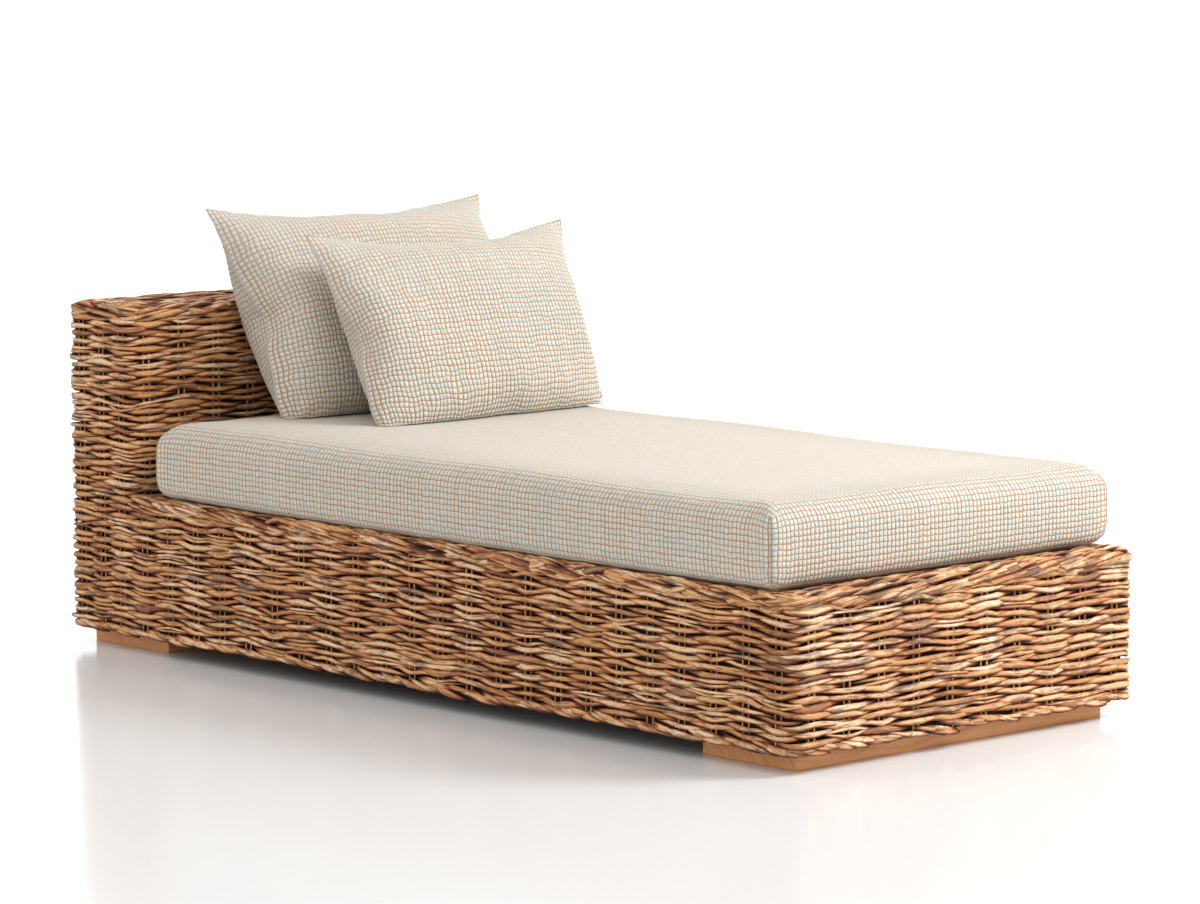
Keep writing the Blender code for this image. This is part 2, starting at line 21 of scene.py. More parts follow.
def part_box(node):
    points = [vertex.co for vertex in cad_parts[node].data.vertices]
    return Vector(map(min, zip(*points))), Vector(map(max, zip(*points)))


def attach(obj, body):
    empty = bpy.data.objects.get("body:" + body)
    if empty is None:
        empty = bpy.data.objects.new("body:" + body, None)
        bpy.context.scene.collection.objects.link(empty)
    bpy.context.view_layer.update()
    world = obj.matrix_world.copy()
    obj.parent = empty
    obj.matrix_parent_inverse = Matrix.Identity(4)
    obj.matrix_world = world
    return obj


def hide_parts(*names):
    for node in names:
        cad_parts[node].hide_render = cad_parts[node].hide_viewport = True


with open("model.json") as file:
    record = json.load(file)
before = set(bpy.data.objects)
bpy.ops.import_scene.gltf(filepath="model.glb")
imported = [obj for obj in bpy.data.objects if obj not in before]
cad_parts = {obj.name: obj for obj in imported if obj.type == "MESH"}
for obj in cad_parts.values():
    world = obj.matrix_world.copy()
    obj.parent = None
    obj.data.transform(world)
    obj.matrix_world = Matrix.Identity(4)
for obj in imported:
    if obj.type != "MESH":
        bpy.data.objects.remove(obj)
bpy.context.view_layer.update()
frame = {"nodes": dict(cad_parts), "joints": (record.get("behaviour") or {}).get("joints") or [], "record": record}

LOG = logging.getLogger("lounger")

Array = np.ndarray
Colour = tuple[float, float, float]
Triple = tuple[float, float, float]
Points = tuple[tuple[float, float], ...]
Piece = bpy.types.Object
Material = bpy.types.Material
Socket = bpy.types.NodeSocket
Random = np.random.Generator

FIBRE = "fibre"
# Name of the strands' attribute that holds their tone, age and painted shade.
TONE_AND_SHADE = "tint"
CLOTH_MAP = "cloth"
SHEET = "sheet"
SHEET_APART = 100
CELL_POINTS = 3
SEWN = 0.999
# Spacing of the points along the painted-shade lining strips.
SHADE_LINING_STEP = 0.018
PILLOW_ROOM = 0.0005


class Side(Enum):
    """The four sides of an outline, in the order in which it is walked."""

    RIGHT = 0
    FOOT = 1
    LEFT = 2
    HEAD = 3


def unit(vectors: Array) -> Array:
    """Scale each row of an array of vectors to length one."""
    return vectors / np.linalg.norm(vectors, axis=-1, keepdims=True)


def rounded_line(points: list[tuple[float, float]], rounds: int = 3) -> Array:
    """Cut the corners of a line of points until it is smooth.

    Args:
        points: The corners of the line.
        rounds: How often each corner is cut.

    Returns:
        The points of the smooth line.
    """
    line = np.array(points)
    for _ in range(rounds):
        first = 0.75 * line[:-1] + 0.25 * line[1:]
        second = 0.25 * line[:-1] + 0.75 * line[1:]
        middle = np.stack([first, second], axis=1).reshape(-1, 2)
        line = np.vstack([line[:1], middle, line[-1:]])
    return line


def placed(name: str, data: bpy.types.ID) -> Piece:
    """Make an object of a mesh, a curve, a light or a camera and link it to the scene.

    Args:
        name: Name of the object.
        data: What it shows.

    Returns:
        The new object.
    """
    piece = bpy.data.objects.new(name, data)
    bpy.context.scene.collection.objects.link(piece)
    return piece


def dress(piece: Piece, material: Material, body: str, slot: str, *nodes: str) -> None:
    """Give a piece its finish and tie it to the frame.

    Args:
        piece: The piece.
        material: Its finish.
        body: The body that it moves with.
        slot: The record's slot for that finish. It is not used.
        nodes: The nodes that it replaces.
    """
    piece.data.materials.append(material)
    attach(piece, body)
    if nodes:
        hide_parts(*nodes)


def dimmed(colour: Colour, share: float) -> Colour:
    """A darker shade of a colour."""
    return tuple(share * part for part in colour)


@dataclass(frozen=True)
class Outline:
    """A rounded rectangle seen from above, walked from its head right corner towards the foot.

    Each side runs from the middle of one rounded corner to the middle of the next.
    """

    low: tuple[float, float]
    high: tuple[float, float]
    radius: float

    def runs(self) -> Array:
        """Lengths of the four sides."""
        flat = np.subtract(self.high, self.low) - 2 * self.radius
        return np.array([flat[0], flat[1], flat[0], flat[1]]) + math.pi / 2 * self.radius

    def length(self) -> float:
        """Distance all the way round."""
        return float(self.runs().sum())

    def side_at(self, distance: float) -> Side:
        """The side on which a distance along the outline lies."""
        ends = np.cumsum(self.runs())
        return Side(int(np.searchsorted(ends, distance % ends[-1], side="right")))

    def at(self, distance: Array) -> tuple[Array, Array]:
        """Find places along the outline.

        Args:
            distance: Distances from the start.

        Returns:
            The points and the outward normals there, both with a Z of nought.
        """
        along = np.array([(1, 0), (0, 1), (-1, 0), (0, -1)], dtype=float)
        out = np.array([(0, -1), (1, 0), (0, 1), (-1, 0)], dtype=float)
        inner_low = np.add(self.low, self.radius)
        inner_high = np.subtract(self.high, self.radius)
        corner = np.array([inner_low, (inner_high[0], inner_low[1]),
                           inner_high, (inner_low[0], inner_high[1])])
        runs = self.runs()
        ends = np.cumsum(runs)
        distance = np.mod(distance, ends[-1])
        side = np.searchsorted(ends, distance, side="right")
        turn = math.pi / 2 * self.radius
        flat = runs[side] - turn
        on_flat = distance - (ends - runs)[side] - turn / 2
        angle = (np.minimum(on_flat, 0) + np.maximum(on_flat - flat, 0)) / self.radius
        normal = out[side] * np.cos(angle)[:, None] + along[side] * np.sin(angle)[:, None]
        walked = np.clip(on_flat, 0, flat)[:, None]
        point = corner[side] + along[side] * walked + normal * self.radius
        level = np.zeros((len(point), 1))
        return np.hstack([point, level]), np.hstack([normal, level])

    def off(self, distance: Array, depth: Array | float, height: Array | float) -> tuple[Array, Array]:
        """Find places in front of the outline or behind it.

        Args:
            distance: Distances from the start.
            depth: How far out of the outline the places lie.
            height: How high they lie.

        Returns:
            The places and the outward normals there.
        """
        point, normal = self.at(distance)
        place = point + normal * np.reshape(depth, (-1, 1))
        place[:, 2] = height
        return place, normal


@dataclass(frozen=True)
class Wander:
    """A smooth, repeatable drift over a wall, in metres."""

    reach: float
    waves: Array
    climbs: Array
    phases: Array

    @classmethod
    def drawn(cls, rng: Random, reach: float, length: float, count: int = 7) -> "Wander":
        """Draw the waves of a drift, which repeats after a length."""
        turns = rng.integers(5, 36, count)
        return cls(reach, 2 * math.pi * turns / length, rng.uniform(-16, 16, count),
                   rng.uniform(0, 2 * math.pi, count))

    def __call__(self, along: Array, height: Array) -> Array:
        """The drift at places along and up the wall."""
        angle = np.multiply.outer(along, self.waves) + np.multiply.outer(height, self.climbs) + self.phases
        return self.reach * np.sin(angle).sum(axis=-1) / math.sqrt(len(self.waves))


@dataclass
class Strand:
    """One flat length of split cane."""

    spine: Array
    out: Array
    width: Array
    thickness: Array
    twist: Array
    # Painted shade along the strand, from nought for none to one for almost black.
    shade: Array
    tone: float
    age: float


def shade_lining(spine: Array, out: Array, width: float) -> Strand:
    """Painted shade: a broad, thin, dark strip behind the cane that stands in for the shade inside the wall and
    keeps its gaps dark.
    """
    even = np.ones(len(spine))
    return Strand(spine, out, width * even, 0.0020 * even, 0 * even, even, 0.15, 0.0)


@dataclass
class Bundle:
    """Strands that are gathered into one mesh."""

    rng: Random
    sides: int = 8
    ridge: float = 0.22
    rough: float = 0.11
    # Painted shade along the strands' edges: a little on the upper edge, more on the lower one, which faces away
    # from the light.
    upper_edge_shade: float = 0.56
    lower_edge_shade: float = 1.10
    points: list[Array] = field(default_factory=list)
    quads: list[Array] = field(default_factory=list)
    fibre: list[Array] = field(default_factory=list)
    tint: list[Array] = field(default_factory=list)
    size: int = 0

    def add(self, strand: Strand) -> None:
        """Add a strand as a flattened tube with closed ends.

        Args:
            strand: The strand to add.
        """
        rings = len(strand.spine)
        ahead = unit(np.gradient(strand.spine, axis=0))
        across = unit(np.cross(strand.out, ahead))
        lift = np.cross(ahead, across)
        cos, sin = np.cos(strand.twist)[:, None], np.sin(strand.twist)[:, None]
        flat, proud = across * cos + lift * sin, lift * cos - across * sin
        angle = 2 * math.pi * np.arange(self.sides) / self.sides
        ridges = 1 + self.rng.uniform(-self.ridge, self.ridge, self.sides)
        rough = 1 + self.rng.uniform(-self.rough, self.rough, (rings, self.sides))
        wide = np.multiply.outer(strand.width / 2, np.cos(angle)) * rough
        deep = np.multiply.outer(strand.thickness / 2, np.sin(angle) * ridges) * rough
        ring = strand.spine[:, None] + flat[:, None] * wide[..., None] + proud[:, None] * deep[..., None]
        self.points.append(ring.reshape(-1, 3))
        self.quads.append(self.faces(rings) + self.size)
        self.size += rings * self.sides

        steps = np.linalg.norm(np.diff(strand.spine, axis=0), axis=1)
        travel = np.concatenate([[0.0], np.cumsum(steps)])[:, None] + np.zeros_like(wide)
        seed = np.full_like(wide, self.rng.uniform(0, 90))
        self.fibre.append(np.stack([travel, wide, seed], axis=-1).reshape(-1, 3))
        # Painted shade on each strand's edges, heaviest on the lower edge, which the light from above misses.
        cosine = np.cos(angle)
        edge = np.where(cosine > 0, self.upper_edge_shade * cosine ** 4, self.lower_edge_shade * cosine ** 2)
        shade = np.clip(strand.shade[:, None] + edge, 0, 1)
        tone, age = np.full_like(wide, strand.tone), np.full_like(wide, strand.age)
        self.tint.append(np.stack([tone, age, shade], axis=-1).reshape(-1, 3))

    def faces(self, rings: int) -> Array:
        """Number the quads of one tube.

        Args:
            rings: How many rings the tube has.

        Returns:
            The corner numbers of its quads, the two ends included.
        """
        n = self.sides
        start = (np.arange(rings - 1) * n)[:, None]
        here, after = np.arange(n), (np.arange(n) + 1) % n
        wall = np.stack([start + here, start + after, start + n + after, start + n + here], axis=-1)
        cap = np.array([(0, 1, 2, 3), (0, 3, 4, 7), (4, 5, 6, 7)])
        return np.vstack([wall.reshape(-1, 4), cap[:, ::-1], cap + (rings - 1) * n])

    def build(self, name: str) -> Piece:
        """Make the gathered strands into an object.

        Args:
            name: Name of the object.

        Returns:
            The new object.
        """
        mesh = bpy.data.meshes.new(name)
        mesh.from_pydata(np.concatenate(self.points).tolist(), [], np.concatenate(self.quads).tolist())
        for label, values in ((FIBRE, self.fibre), (TONE_AND_SHADE, self.tint)):
            layer = mesh.attributes.new(label, "FLOAT_VECTOR", "POINT")
            layer.data.foreach_set("vector", np.concatenate(values).astype(np.float32).ravel())
        mesh.shade_smooth()
        return placed(name, mesh)


Bundles = dict[Side, Bundle]


@dataclass
class Graph:
    """Places and joins the nodes of one shader tree."""

    tree: bpy.types.NodeTree

    def add(self, kind: str, feeds: dict | None = None, **settings: object) -> bpy.types.Node:
        """Place a node.

        Args:
            kind: Blender's name of the node type.
            feeds: Values or sockets for its inputs, by name or number.
            settings: Properties of the node.

        Returns:
            The new node.
        """
        node = self.tree.nodes.new(kind)
        for name, value in settings.items():
            setattr(node, name, value)
        for key, value in (feeds or {}).items():
            self.feed(node.inputs[key], value)
        return node

    def feed(self, socket: Socket, value: object) -> None:
        """Link a socket to an input, or set the input to a plain value."""
        if isinstance(value, Socket):
            self.tree.links.new(value, socket)
        else:
            socket.default_value = value

    def math(self, operation: str, first: object, second: object = 0.0, third: object = 0.0,
             clamp: bool = False) -> Socket:
        """Combine numbers.

        Args:
            operation: Blender's name of the sum.
            first: First number or socket.
            second: Second number or socket.
            third: Third number or socket.
            clamp: Whether the result is kept from nought to one.

        Returns:
            The result's socket.
        """
        node = self.add("ShaderNodeMath", {0: first, 1: second, 2: third}, operation=operation)
        node.use_clamp = clamp
        return node.outputs[0]

    def ease(self, value: object, start: object, end: object) -> Socket:
        """Rise smoothly from nought at start to one at end."""
        feeds = {"Value": value, "From Min": start, "From Max": end}
        return self.add("ShaderNodeMapRange", feeds, interpolation_type="SMOOTHSTEP").outputs[0]

    def mix(self, share: object, first: object, second: object, blend: str = "MIX") -> Socket:
        """Blend two colours by the share of the second one."""
        feeds = {0: share, 6: as_colour(first), 7: as_colour(second)}
        return self.add("ShaderNodeMix", feeds, data_type="RGBA", blend_type=blend).outputs[2]

    def ramp(self, value: object, stops: list[tuple[float, Colour]]) -> Socket:
        """Turn a number into a colour.

        Args:
            value: Number or socket that is mapped.
            stops: Places from nought to one and the colours there.

        Returns:
            The colour's socket.
        """
        node = self.add("ShaderNodeValToRGB", {0: value})
        band = node.color_ramp.elements
        while len(band) < len(stops):
            band.new(1.0)
        for element, (place, colour) in zip(band, stops):
            element.position = place
            element.color = (*colour, 1.0)
        return node.outputs[0]

    def noise(self, vector: object, scale: object, detail: float = 3.0, rough: float = 0.55) -> Socket:
        """Smooth noise from about nought to one, with a scale in waves per metre."""
        feeds = {"Vector": vector, "Scale": scale, "Detail": detail, "Roughness": rough}
        return self.add("ShaderNodeTexNoise", feeds).outputs[0]

    def split(self, vector: object) -> list[Socket]:
        """The three numbers of a vector."""
        return list(self.add("ShaderNodeSeparateXYZ", {0: vector}).outputs)

    def join(self, x: object, y: object, z: object) -> Socket:
        """A vector from three numbers."""
        return self.add("ShaderNodeCombineXYZ", {0: x, 1: y, 2: z}).outputs[0]

    def times(self, first: object, second: object) -> Socket:
        """The product of two numbers."""
        return self.math("MULTIPLY", first, second)

    def line(self, value: object, slope: object, start: object) -> Socket:
        """A straight rise: a number times a slope, plus a start."""
        return self.math("MULTIPLY_ADD", value, slope, start)

    def layer(self, under: object, over: object, mask: object, cover: object) -> Socket:
        """Lay a colour over another where a mask shows it, and cover it that well."""
        return self.mix(self.times(mask, cover), under, over)

    def effect(self, group: bpy.types.NodeTree, **feeds: object) -> bpy.types.NodeOutputs:
        """Place a shared effect, feed its inputs and give its outputs."""
        return self.add("ShaderNodeGroup", feeds, node_tree=group).outputs

    def paint(self, shader: bpy.types.Node, colour: object, rough: object) -> None:
        """Give a shader its colour and its roughness."""
        self.feed(shader.inputs["Base Color"], colour)
        self.feed(shader.inputs["Roughness"], rough)

    def relief(self, shader: bpy.types.Node, height: object, strength: float, depth: float) -> None:
        """Let relief of a depth in metres bend the light on a shader."""
        bump = self.add("ShaderNodeBump", {"Height": height, "Strength": strength, "Distance": depth})
        self.feed(shader.inputs["Normal"], bump.outputs[0])


def as_colour(value: object) -> object:
    """Give a plain colour its alpha, and leave a socket as it is."""
    return (*value, 1.0) if isinstance(value, tuple) and len(value) == 3 else value


@dataclass
class Effect:
    """A shared shader effect: a node group that takes a vector and some numbers, and gives numbers."""

    name: str
    inputs: tuple[str, ...]
    outputs: tuple[str, ...]

    def start(self) -> tuple[bpy.types.NodeTree, Graph, dict[str, Socket]]:
        """Make the empty group, whose first input is the vector.

        Returns:
            The group, a graph to fill it with, and its input sockets by name.
        """
        group = bpy.data.node_groups.new(self.name, "ShaderNodeTree")
        for label in self.inputs:
            kind = "NodeSocketVector" if label == self.inputs[0] else "NodeSocketFloat"
            group.interface.new_socket(name=label, in_out="INPUT", socket_type=kind)
        for label in self.outputs:
            group.interface.new_socket(name=label, in_out="OUTPUT", socket_type="NodeSocketFloat")
        graph = Graph(group)
        source = graph.add("NodeGroupInput")
        return group, graph, {label: source.outputs[label] for label in self.inputs}


def grain_effect() -> bpy.types.NodeTree:
    """Streaks that run along a fibre, shared by the cane and the wood.

    Returns:
        The node group.
    """
    effect = Effect("fibre_grain", ("Fibre", "Stretch", "Fineness"), ("Streak", "Pore"))
    group, graph, given = effect.start()
    along, across, seed = graph.split(given["Fibre"])
    long = graph.times(along, given["Stretch"])
    wide = graph.times(across, given["Fineness"])
    streak = graph.noise(graph.join(long, wide, seed), 1.0, 4.0, 0.6)
    pore = graph.noise(graph.join(graph.times(long, 2.5), graph.times(wide, 3.2), seed), 1.0, 2.0, 0.5)
    graph.add("NodeGroupOutput", {"Streak": streak, "Pore": pore})
    return group


def weather_effect() -> bpy.types.NodeTree:
    """Patches of wear, shared by the cane and the wood.

    Returns:
        The node group.
    """
    group, graph, given = Effect("weathering", ("Place", "Size", "Amount"), ("Patch",)).start()
    cloud = graph.noise(given["Place"], given["Size"], 5.0, 0.65)
    start = graph.math("SUBTRACT", 0.78, given["Amount"])
    patch = graph.ease(cloud, start, graph.math("ADD", start, 0.14))
    graph.add("NodeGroupOutput", {"Patch": patch})
    return group


def threads_one_way(graph: Graph, reach: object, pitch: object, share: object,
                    salt: float) -> tuple[Socket, ...]:
    """One of the two ways of a check: its threads and the cells between them.

    Args:
        graph: The graph that is filled.
        reach: Distance across the threads.
        pitch: Distance from thread to thread.
        share: How much of a cell a thread covers.
        salt: Added to a thread's number, so that the two ways draw different threads.

    Returns:
        The threads' mask, the cells' dome, the place in a cell and the cell's number.
    """
    cell = graph.math("DIVIDE", reach, pitch)
    place = graph.math("FRACT", cell)
    off = graph.math("ABSOLUTE", graph.math("SUBTRACT", place, 0.5))
    near = graph.math("SUBTRACT", 0.5, off)
    which = graph.math("ADD", graph.math("ROUND", cell), salt)
    drawn = graph.add("ShaderNodeTexWhiteNoise", {"W": which}, noise_dimensions="1D").outputs[0]
    width = graph.times(share, graph.line(drawn, 0.24, 0.88))
    thread = graph.math("SUBTRACT", 1.0, graph.ease(near, graph.times(width, 0.45), width))
    thread = graph.times(thread, graph.line(drawn, 0.20, 0.84))
    dome = graph.math("SINE", graph.times(place, math.pi))
    return thread, dome, place, graph.math("FLOOR", cell)


def check_effect() -> bpy.types.NodeTree:
    """A small check of coloured threads round puffed cells, shared by the two cloths.

    Returns:
        The node group.
    """
    effect = Effect("puffed_check", ("Cloth", "Pitch", "Rise", "Thread", "Wobble"),
                    ("Thread", "Puff", "Tint", "Yarn"))
    group, graph, given = effect.start()
    cloth = given["Cloth"]
    drift = graph.add("ShaderNodeTexNoise", {"Vector": cloth, "Scale": 55.0, "Detail": 2.0}).outputs[1]
    for operation, feeds in (("SUBTRACT", {1: (0.5, 0.5, 0.5)}), ("SCALE", {"Scale": given["Wobble"]}),
                             ("ADD", {1: cloth})):
        drift = graph.add("ShaderNodeVectorMath", {0: drift, **feeds}, operation=operation).outputs[0]
    across, up, _ = graph.split(drift)
    upright, dome, place, column = threads_one_way(graph, across, given["Pitch"], given["Thread"], 0.3)
    level, other_dome, _, row = threads_one_way(graph, up, given["Rise"], given["Thread"], 500.7)
    patchy = graph.ease(graph.noise(cloth, 260.0, 2.0), 0.25, 0.6)
    upright = graph.times(upright, graph.line(patchy, 0.32, 0.78))
    level = graph.times(level, graph.line(patchy, 0.52, 0.38))
    thread = graph.math("MAXIMUM", upright, level)
    puff = graph.math("POWER", graph.times(dome, other_dome), 0.55)
    cells = graph.join(column, row, 0.0)
    spread = graph.add("ShaderNodeTexWhiteNoise", {"Vector": cells}, noise_dimensions="2D").outputs[0]
    broad = graph.line(graph.noise(cloth, 6.0, 1.0), 0.9, -0.45)
    broad = graph.math("ADD", broad, graph.line(spread, 0.6, -0.30))
    # Painted highlight and shade: a wave across each cell makes one side of its puff whiter and the other more
    # aqua. The per-cell and broad aqua and white are the cloth's dye.
    wave = graph.math("SINE", graph.times(place, 2 * math.pi))
    tint = graph.line(wave, 0.32, graph.math("ADD", graph.noise(cloth, 34.0, 3.0), broad))
    yarn = graph.noise(cloth, 1500.0, 2.0, 0.6)
    graph.add("NodeGroupOutput", {"Thread": thread, "Puff": puff, "Tint": tint, "Yarn": yarn})
    return group


@dataclass(frozen=True)
class Effects:
    """The node groups that more than one finish uses."""

    grain: bpy.types.NodeTree
    weather: bpy.types.NodeTree
    check: bpy.types.NodeTree

    @classmethod
    def made(cls) -> "Effects":
        """Build each group once."""
        return cls(grain_effect(), weather_effect(), check_effect())


def new_material(name: str) -> tuple[Material, Graph, bpy.types.Node]:
    """Start a node material.

    Args:
        name: Name of the material.

    Returns:
        The material, a graph to fill it with, and its Principled shader.
    """
    material = bpy.data.materials.new(name)
    material.use_nodes = True
    return material, Graph(material.node_tree), material.node_tree.nodes["Principled BSDF"]


@dataclass(frozen=True)
class CaneFinish:
    """Split cane: streaked bark from straw to dark brown, with grey weathered patches and painted shade where its
    strands carry it.
    """

    name: str
    stretch: float = 38.0
    fineness: float = 340.0
    contrast: float = 1.25
    bark_stretch: float = 24.0
    bark_fineness: float = 170.0
    bark_cover: float = 0.70
    weathered: float = 0.10
    age_weathers: float = 0.30
    patch_waves: float = 26.0
    patch_narrow: float = 7.0
    patch_cover: float = 0.7
    crack_cover: float = 0.6
    knot_waves: tuple[float, float] = (34.0, 110.0)
    knot_cover: float = 0.6
    stained: float = 0.235
    stain_waves: float = 15.0
    stain_flatness: float = 2.6
    stain_cover: float = 0.62
    shadow_cover: float = 0.96
    relief: float = 0.0020
    roughness: float = 0.46
    pale: Colour = (0.83, 0.645, 0.43)
    straw: Colour = (0.71, 0.428, 0.180)
    honey: Colour = (0.545, 0.262, 0.082)
    rust: Colour = (0.29, 0.100, 0.026)
    dark: Colour = (0.050, 0.019, 0.008)
    grey: Colour = (0.20, 0.165, 0.135)
    shade_warmth: Colour = (0.88, 0.43, 0.22)

    def material(self, effects: Effects) -> Material:
        """Build the material.

        Args:
            effects: The shared node groups.

        Returns:
            The cane material.
        """
        material, graph, shader = new_material(self.name)
        fibre, tint = (graph.add("ShaderNodeAttribute", attribute_name=name).outputs["Vector"]
                       for name in (FIBRE, TONE_AND_SHADE))
        along, across, seed = graph.split(fibre)
        # The strands' tone, age and painted shade.
        tone, age, shade = graph.split(tint)

        grain = graph.effect(effects.grain, Fibre=fibre, Stretch=self.stretch, Fineness=self.fineness)
        streak, pore = grain["Streak"], grain["Pore"]
        level = graph.line(graph.math("SUBTRACT", streak, 0.5), self.contrast, tone)
        colour = graph.ramp(level, [(0.0, self.dark), (0.22, self.rust), (0.48, self.honey),
                                    (0.74, self.straw), (1.0, self.pale)])
        bark = graph.effect(effects.grain, Fibre=fibre, Stretch=self.bark_stretch,
                            Fineness=self.bark_fineness)
        barky = graph.mix(pore, self.dark, self.rust)
        colour = graph.layer(colour, barky, graph.ease(bark["Streak"], 0.51, 0.62), self.bark_cover)

        narrow = graph.join(along, graph.times(across, self.patch_narrow), seed)
        amount = graph.line(age, self.age_weathers, self.weathered)
        patch = graph.effect(effects.weather, Place=narrow, Size=self.patch_waves, Amount=amount)["Patch"]
        worn = graph.mix(graph.ease(pore, 0.3, 0.7), self.dark, self.grey)
        colour = graph.layer(colour, worn, patch, self.patch_cover)
        colour = graph.layer(colour, self.dark, graph.ease(pore, 0.42, 0.28), self.crack_cover)
        along, across = (graph.times(way, waves) for way, waves in zip((along, across), self.knot_waves))
        knot = graph.ease(graph.noise(graph.join(along, across, seed), 1.0, 2.0), 0.60, 0.74)
        colour = graph.layer(colour, barky, knot, self.knot_cover)

        wall = {"Vector": graph.add("ShaderNodeTexCoord").outputs["Object"],
                "Scale": (1.0, 1.0, self.stain_flatness)}
        wall = graph.add("ShaderNodeMapping", wall).outputs[0]
        stain = graph.effect(effects.weather, Place=wall, Size=self.stain_waves, Amount=self.stained)["Patch"]
        colour = graph.layer(colour, worn, stain, self.stain_cover)
        # Painted shade: where the strands carry shade, the cane turns warmer and then almost black.
        warm_shade = graph.mix(1.0, colour, self.shade_warmth, "MULTIPLY")
        colour = graph.mix(graph.ease(shade, 0.02, 0.55), colour, warm_shade)
        colour = graph.layer(colour, dimmed(self.dark, 0.35), graph.ease(shade, 0.12, 1.0), self.shadow_cover)
        rough = graph.line(pore, 0.22, self.roughness - 0.1)
        rough = graph.line(patch, 0.3 * self.patch_cover, rough)
        graph.paint(shader, colour, graph.math("MULTIPLY_ADD", shade, 0.45, rough, clamp=True))
        graph.relief(shader, graph.line(pore, 0.35, streak), 0.85, self.relief)
        return material


@dataclass(frozen=True)
class WoodFinish:
    """A planed board with long grain along Y and a few darker lines."""

    name: str
    light: Colour
    mid: Colour
    dark: Colour
    roughness: float
    stretch: float = 5.0
    fineness: float = 95.0
    worn: float = 0.06
    worn_waves: float = 14.0
    worn_cover: float = 0.5
    pore_cover: float = 0.45
    relief: float = 0.0004

    def material(self, effects: Effects) -> Material:
        """Build the material.

        Args:
            effects: The shared node groups.

        Returns:
            The wood material.
        """
        material, graph, shader = new_material(self.name)
        place = graph.add("ShaderNodeTexCoord").outputs["Object"]
        depth, along, height = graph.split(place)
        warp = graph.times(graph.noise(place, 3.0, 2.0), 0.05)
        across = graph.math("ADD", graph.line(height, 0.8, depth), warp)
        grain = graph.effect(effects.grain, Fibre=graph.join(along, across, height), Stretch=self.stretch,
                             Fineness=self.fineness)
        pore = grain["Pore"]
        colour = graph.ramp(grain["Streak"], [(0.25, self.dark), (0.48, self.mid), (0.8, self.light)])
        patch = graph.effect(effects.weather, Place=place, Size=self.worn_waves, Amount=self.worn)["Patch"]
        colour = graph.layer(colour, self.dark, patch, self.worn_cover)
        colour = graph.layer(colour, self.dark, graph.ease(pore, 0.40, 0.25), self.pore_cover)
        graph.paint(shader, colour, graph.line(pore, 0.2, self.roughness - 0.1))
        graph.relief(shader, pore, 0.35, self.relief)
        return material


@dataclass(frozen=True)
class ClothFinish:
    """Puffed cotton: white and aqua cells in a grid of rust threads, plain towards the top of its cloth map: plain
    linen on the mattress's top, and a painted wash of light over the pillows' upper part.
    """

    name: str
    rise: float
    plain_top_and_light_wash: float
    plain_from: float
    plain_to: float
    pitch: float = 0.0101
    thread_share: float = 0.16
    wobble: float = 0.0062
    edge_cover: float = 0.30
    hem_from: float = -0.052
    hem_to: float = -0.072
    hem_cover: float = 0.4
    slub_waves: Triple = (30.0, 420.0, 1.0)
    slub_dim: float = 0.83
    yarn_dim: float = 0.45
    yarn_cover: float = 0.16
    top_flatter: float = 0.55
    puff_height: float = 0.0023
    roughness: float = 0.88
    sheen: float = 0.15
    sheen_roughness: float = 0.5
    white: Colour = (0.645, 0.608, 0.53)
    aqua: Colour = (0.46, 0.59, 0.56)
    rust: Colour = (0.43, 0.198, 0.060)
    linen: Colour = (0.62, 0.550, 0.468)

    def material(self, effects: Effects) -> Material:
        """Build the material.

        Args:
            effects: The shared node groups.

        Returns:
            The cloth material.
        """
        material, graph, shader = new_material(self.name)
        cloth = graph.add("ShaderNodeUVMap", uv_map=CLOTH_MAP).outputs[0]
        check = graph.effect(effects.check, Cloth=cloth, Pitch=self.pitch, Rise=self.rise,
                             Thread=self.thread_share, Wobble=self.wobble)
        puff, yarn = check["Puff"], check["Yarn"]
        # White and aqua dye of the cells, with painted highlight and shade on each puff.
        cell = graph.mix(graph.ease(check["Tint"], 0.2, 1.0), self.white, self.aqua)
        cell = graph.layer(cell, self.linen, graph.ease(puff, 0.75, 0.2), self.edge_cover)
        colour = graph.mix(check["Thread"], cell, self.rust)

        reached = graph.split(cloth)[1]
        hem = graph.ease(reached, self.hem_from, self.hem_to)
        colour = graph.layer(colour, self.white, hem, self.hem_cover)
        slub = graph.add("ShaderNodeMapping", {"Vector": cloth, "Scale": self.slub_waves}).outputs[0]
        slub = graph.ease(graph.noise(slub, 1.0, 3.0), 0.3, 0.75)
        plain = graph.mix(slub, dimmed(self.linen, self.slub_dim), self.linen)
        # Plain linen towards the top of the cloth: on the mattress its plain top, on the pillows a painted wash of
        # light over their upper part.
        top = graph.times(graph.ease(reached, self.plain_from, self.plain_to), self.plain_top_and_light_wash)
        colour = graph.mix(top, colour, plain)
        dark = dimmed(self.linen, self.yarn_dim)
        colour = graph.layer(colour, dark, graph.ease(yarn, 0.6, 0.25), self.yarn_cover)

        graph.paint(shader, colour, graph.line(yarn, 0.15, self.roughness - 0.08))
        graph.feed(shader.inputs["Sheen Weight"], self.sheen)
        graph.feed(shader.inputs["Sheen Roughness"], self.sheen_roughness)
        puff = graph.times(puff, graph.line(top, -self.top_flatter, 1.0))
        graph.relief(shader, graph.line(yarn, 0.10, puff), 0.9, self.puff_height)
        return material


